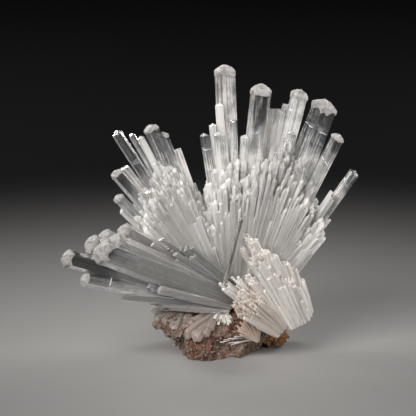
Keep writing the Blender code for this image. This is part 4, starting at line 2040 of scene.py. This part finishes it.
class WhiteTuft(RockFan):
    """The white blades that hang down over the rock under the sprays."""

    def __init__(self) -> None:
        """Set the sizes."""
        super().__init__(
            node="matrix", focus=(0.2, 16.0, -6.6), start=1.5, singles=(),
            reach=((140, 7.0), (165, 8.6), (180, 7.0), (195, 7.8), (220, 6.4)),
            leans=(140.0, 220.0, 0), pitches=(-34.0, 4.0, 0), front_share=1.0, back_share=1.0,
            widths=(0.5, 1.0), seed=52, clear_range=(60.0, 90.0),
            layers=(
                FineLayer(
                    "blades", leans=(145, 218), pitches=(-38, -16), grid=(13, 4),
                    widths=(0.5, 1.1), reach=1.0, shortest=0.5, seed=142, uneven=0.3,
                ),
            ),
            slot=Slot.SILKY, fine_finish=SILKY_FIBRES, start_spread=0.5,
        )


@dataclass
class Rock:
    """The piece of rock under the sprays."""

    node: str = "matrix"
    voxel: float = 0.5 * MM
    coarse: float = 1.4 * MM
    coarse_scale: float = 0.42
    fine: float = 0.8 * MM
    fine_scale: float = 1.3
    flat_height: float = 0.4 * MM
    druse_density: float = 500000.0
    druse_widths: Pair = (0.3, 0.9)
    druse_lengths: Pair = (0.2, 0.9)
    druse_lowest: float = 1.8
    druse_tilt: float = 0.9
    seed: int = 7

    def build(self, stock: PrismStock, grower: DruseGrower) -> None:
        """Build the rock and the small crystals on it.

        Args:
            stock: the small prisms.
            grower: the tree that sets them out.
        """
        rock = self.build_body()
        druse = grower.grow(rock.data.copy(), "matrix_druse", {
            "Density": self.druse_density,
            "Thin": self.druse_widths[0] * MM, "Thick": self.druse_widths[1] * MM,
            "Short": self.druse_lengths[0] * MM, "Long": self.druse_lengths[1] * MM,
            "Lowest": self.druse_lowest * MM, "Tilt": self.druse_tilt, "Clarity": 0.3,
            "Seed": self.seed, "Stock": stock.collection, "Material": DRUSE.material(),
        })
        declare(rock, Slot.ROCK, self.node)
        declare(druse, Slot.CLEAR, self.node)

    def build_body(self) -> bpy.types.Object:
        """Roughen a fine copy of the rock's solid.

        Returns:
            The rock.
        """
        solid = frame["nodes"][self.node]
        rock = link(bpy.data.objects.new("matrix_rock", solid.data.copy()))
        rock.matrix_world = solid.matrix_world
        remesh = rock.modifiers.new("remesh", "REMESH")
        remesh.mode = "VOXEL"
        remesh.voxel_size = self.voxel
        sight = bpy.context.evaluated_depsgraph_get()
        mesh = bpy.data.meshes.new_from_object(rock.evaluated_get(sight))
        mesh.transform(solid.matrix_world)
        rock.modifiers.clear()
        rock.matrix_world = Matrix()
        normals = [corner.normal.copy() for corner in mesh.vertices]
        for corner, normal in zip(mesh.vertices, normals):
            place = corner.co / MM
            rough = noise.noise(place * self.coarse_scale) * self.coarse
            rough += noise.noise(place * self.fine_scale) * self.fine
            moved = corner.co + normal * (rough - self.coarse * 0.5)
            if corner.co.z < self.flat_height:
                moved = Vector((moved.x, moved.y, corner.co.z))
            moved.z = max(0.0, moved.z)
            corner.co = moved
        mesh.materials.clear()
        mesh.materials.append(STAINED_ROCK.material())
        rock.data = mesh
        return rock


@dataclass
class Cluster:
    """Small crystals on the rock that stand apart from the druse."""

    name: str
    root: Point
    tips: tuple[Single, ...]
    finish: Finish
    slot: Slot
    clarity: float
    depth_share: float = 0.86

    def build(self) -> None:
        """Build the cluster."""
        draw = random.Random(self.name)
        draft = MeshDraft()
        root = DISPLAY.place(*self.root)
        for single in self.tips:
            tip = DISPLAY.place(single.right, single.up, single.depth)
            shift = Vector([draw.uniform(-1.2, 1.2) for _ in range(3)])
            prism = Prism(
                root + shift, tip, single.width, draw.uniform(-0.5, 0.5), self.clarity, strips=1,
                depth_share=self.depth_share,
            )
            prism.add_to(draft, tip, (100.0, 101.0), draw)
        declare(draft.to_object(self.name, self.finish), self.slot, "matrix")


CLUSTERS = (
    Cluster("low_needles", (12.0, 5.6, -7.0), (
        Single(-0.6, 3.6, -11.4, 0.4), Single(1.8, 4.8, -11.8, 0.4), Single(3.0, 2.8, -11.0, 0.4),
        Single(4.0, 5.6, -11.8, 0.4), Single(0.4, 4.4, -11.4, 0.3), Single(2.2, 3.4, -11.2, 0.3),
    ), SILKY_FIBRES, Slot.SILKY, 0.4),
    Cluster("left_wing", (-13.0, 14.0, -9.0), (
        Single(-24.6, 17.0, -9.0, 2.6), Single(-23.8, 14.0, -10.0, 3.2),
        Single(-22.4, 11.4, -11.0, 3.4), Single(-19.8, 9.4, -12.8, 3.4),
        Single(-16.6, 7.8, -14.4, 3.0), Single(-21.4, 15.4, -12.0, 2.8),
    ), SMOKY_PLATES, Slot.CLEAR, 0.35, 0.34),
    Cluster("waxy_blades", (-1.0, 15.0, -6.5), (
        Single(-12.8, 5.4, -12.8, 4.6), Single(-9.8, 4.4, -13.8, 4.6),
        Single(-6.6, 5.4, -13.2, 4.0), Single(-4.2, 7.4, -12.2, 3.4),
        Single(-13.4, 8.6, -11.4, 3.6),
    ), WAXY_BLADES, Slot.CLEAR, 0.1, 0.6),
)


@dataclass(frozen=True)
class SoftLight:
    """A soft light that faces the specimen: where it hangs, its width and its power in watts."""

    name: str
    place: Point
    size: float
    power: float

    def hang(self, target: Vector, colour: Point) -> None:
        """Hang the light.

        Args:
            target: what it faces.
            colour: its colour.
        """
        data = bpy.data.lights.new(self.name, "AREA")
        data.shape = "SQUARE"
        data.size = self.size
        data.energy = self.power
        data.color = colour
        light = link(bpy.data.objects.new(self.name, data))
        light.location = self.place
        away = target - Vector(self.place)
        light.rotation_euler = away.to_track_quat("-Z", "Y").to_euler()


@dataclass
class Studio:
    """The camera, the lights and the paper, in metres."""

    distance: float = 0.8
    sensor: float = 36.0
    paper_half: float = 3.0
    target: Point = (0.0, 0.0, 0.045)
    warmth: Point = (1.0, 0.965, 0.93)
    lights: tuple[SoftLight, ...] = (
        SoftLight("key", (-0.45, -0.8, 0.62), 0.6, 17.0),
        SoftLight("fill", (0.7, -0.7, 0.35), 0.7, 5.0),
        SoftLight("rim_left", (-0.6, 0.45, 0.5), 0.35, 5.0),
        SoftLight("rim_right", (0.55, 0.45, 0.45), 0.35, 4.0),
    )
    sky: Colour = (0.52, 0.51, 0.5, 1.0)
    sky_strength: float = 0.06

    def build(self) -> None:
        """Set up the studio."""
        self.build_camera()
        self.build_paper()
        for light in self.lights:
            light.hang(Vector(self.target), self.warmth)
        world = bpy.data.worlds.new("studio")
        world.use_nodes = True
        background = world.node_tree.nodes["Background"]
        background.inputs["Color"].default_value = self.sky
        background.inputs["Strength"].default_value = self.sky_strength
        bpy.context.scene.world = world
        bpy.context.scene.view_settings.view_transform = "Standard"

    def build_camera(self) -> None:
        """Look at the middle of the display side through a long lens."""
        tilt = math.radians(DISPLAY.tilt_deg)
        middle = Vector((DISPLAY.middle_right, 0.0, DISPLAY.middle_up / math.cos(tilt))) * MM
        data = bpy.data.cameras.new("camera")
        data.sensor_width = self.sensor
        data.lens = self.sensor * self.distance / (DISPLAY.frame_width * MM)
        camera = link(bpy.data.objects.new("camera", data))
        camera.location = middle + Vector((0.0, -math.cos(tilt), math.sin(tilt))) * self.distance
        camera.rotation_euler = (math.radians(90.0) - tilt, 0.0, 0.0)
        bpy.context.scene.camera = camera

    def build_paper(self) -> None:
        """Lay a flat sheet of paper under the specimen, with a painted pool of light round it."""
        half = self.paper_half
        points = [(-half, -half, 0.0), (half, -half, 0.0), (half, half, 0.0), (-half, half, 0.0)]
        mesh = bpy.data.meshes.new("paper")
        mesh.from_pydata(points, [], [(0, 1, 2, 3)])
        # The paper's finish paints a pool of light round the specimen and painted shade further
        # out.
        mesh.materials.append(StudioFinish("studio paper").material())
        link(bpy.data.objects.new("paper", mesh))


SPRAYS = (
    RightSpray, LeftSpray, LowerLeftSpray, UpperLobe, LowerLobe, PinkRosette, WhiteTuft,
)


def main() -> None:
    """Build the specimen in its studio."""
    logging.basicConfig(level=logging.INFO, format="%(name)s %(message)s")
    Studio().build()
    stock = PrismStock()
    stock.build()
    spray_grower = SprayGrower()
    druse_grower = DruseGrower()
    for spray in SPRAYS:
        spray().build(stock, spray_grower, druse_grower)
    Rock().build(stock, druse_grower)
    for cluster in CLUSTERS:
        cluster.build()
    stock.remove()


if __name__ == "__main__":
    main()
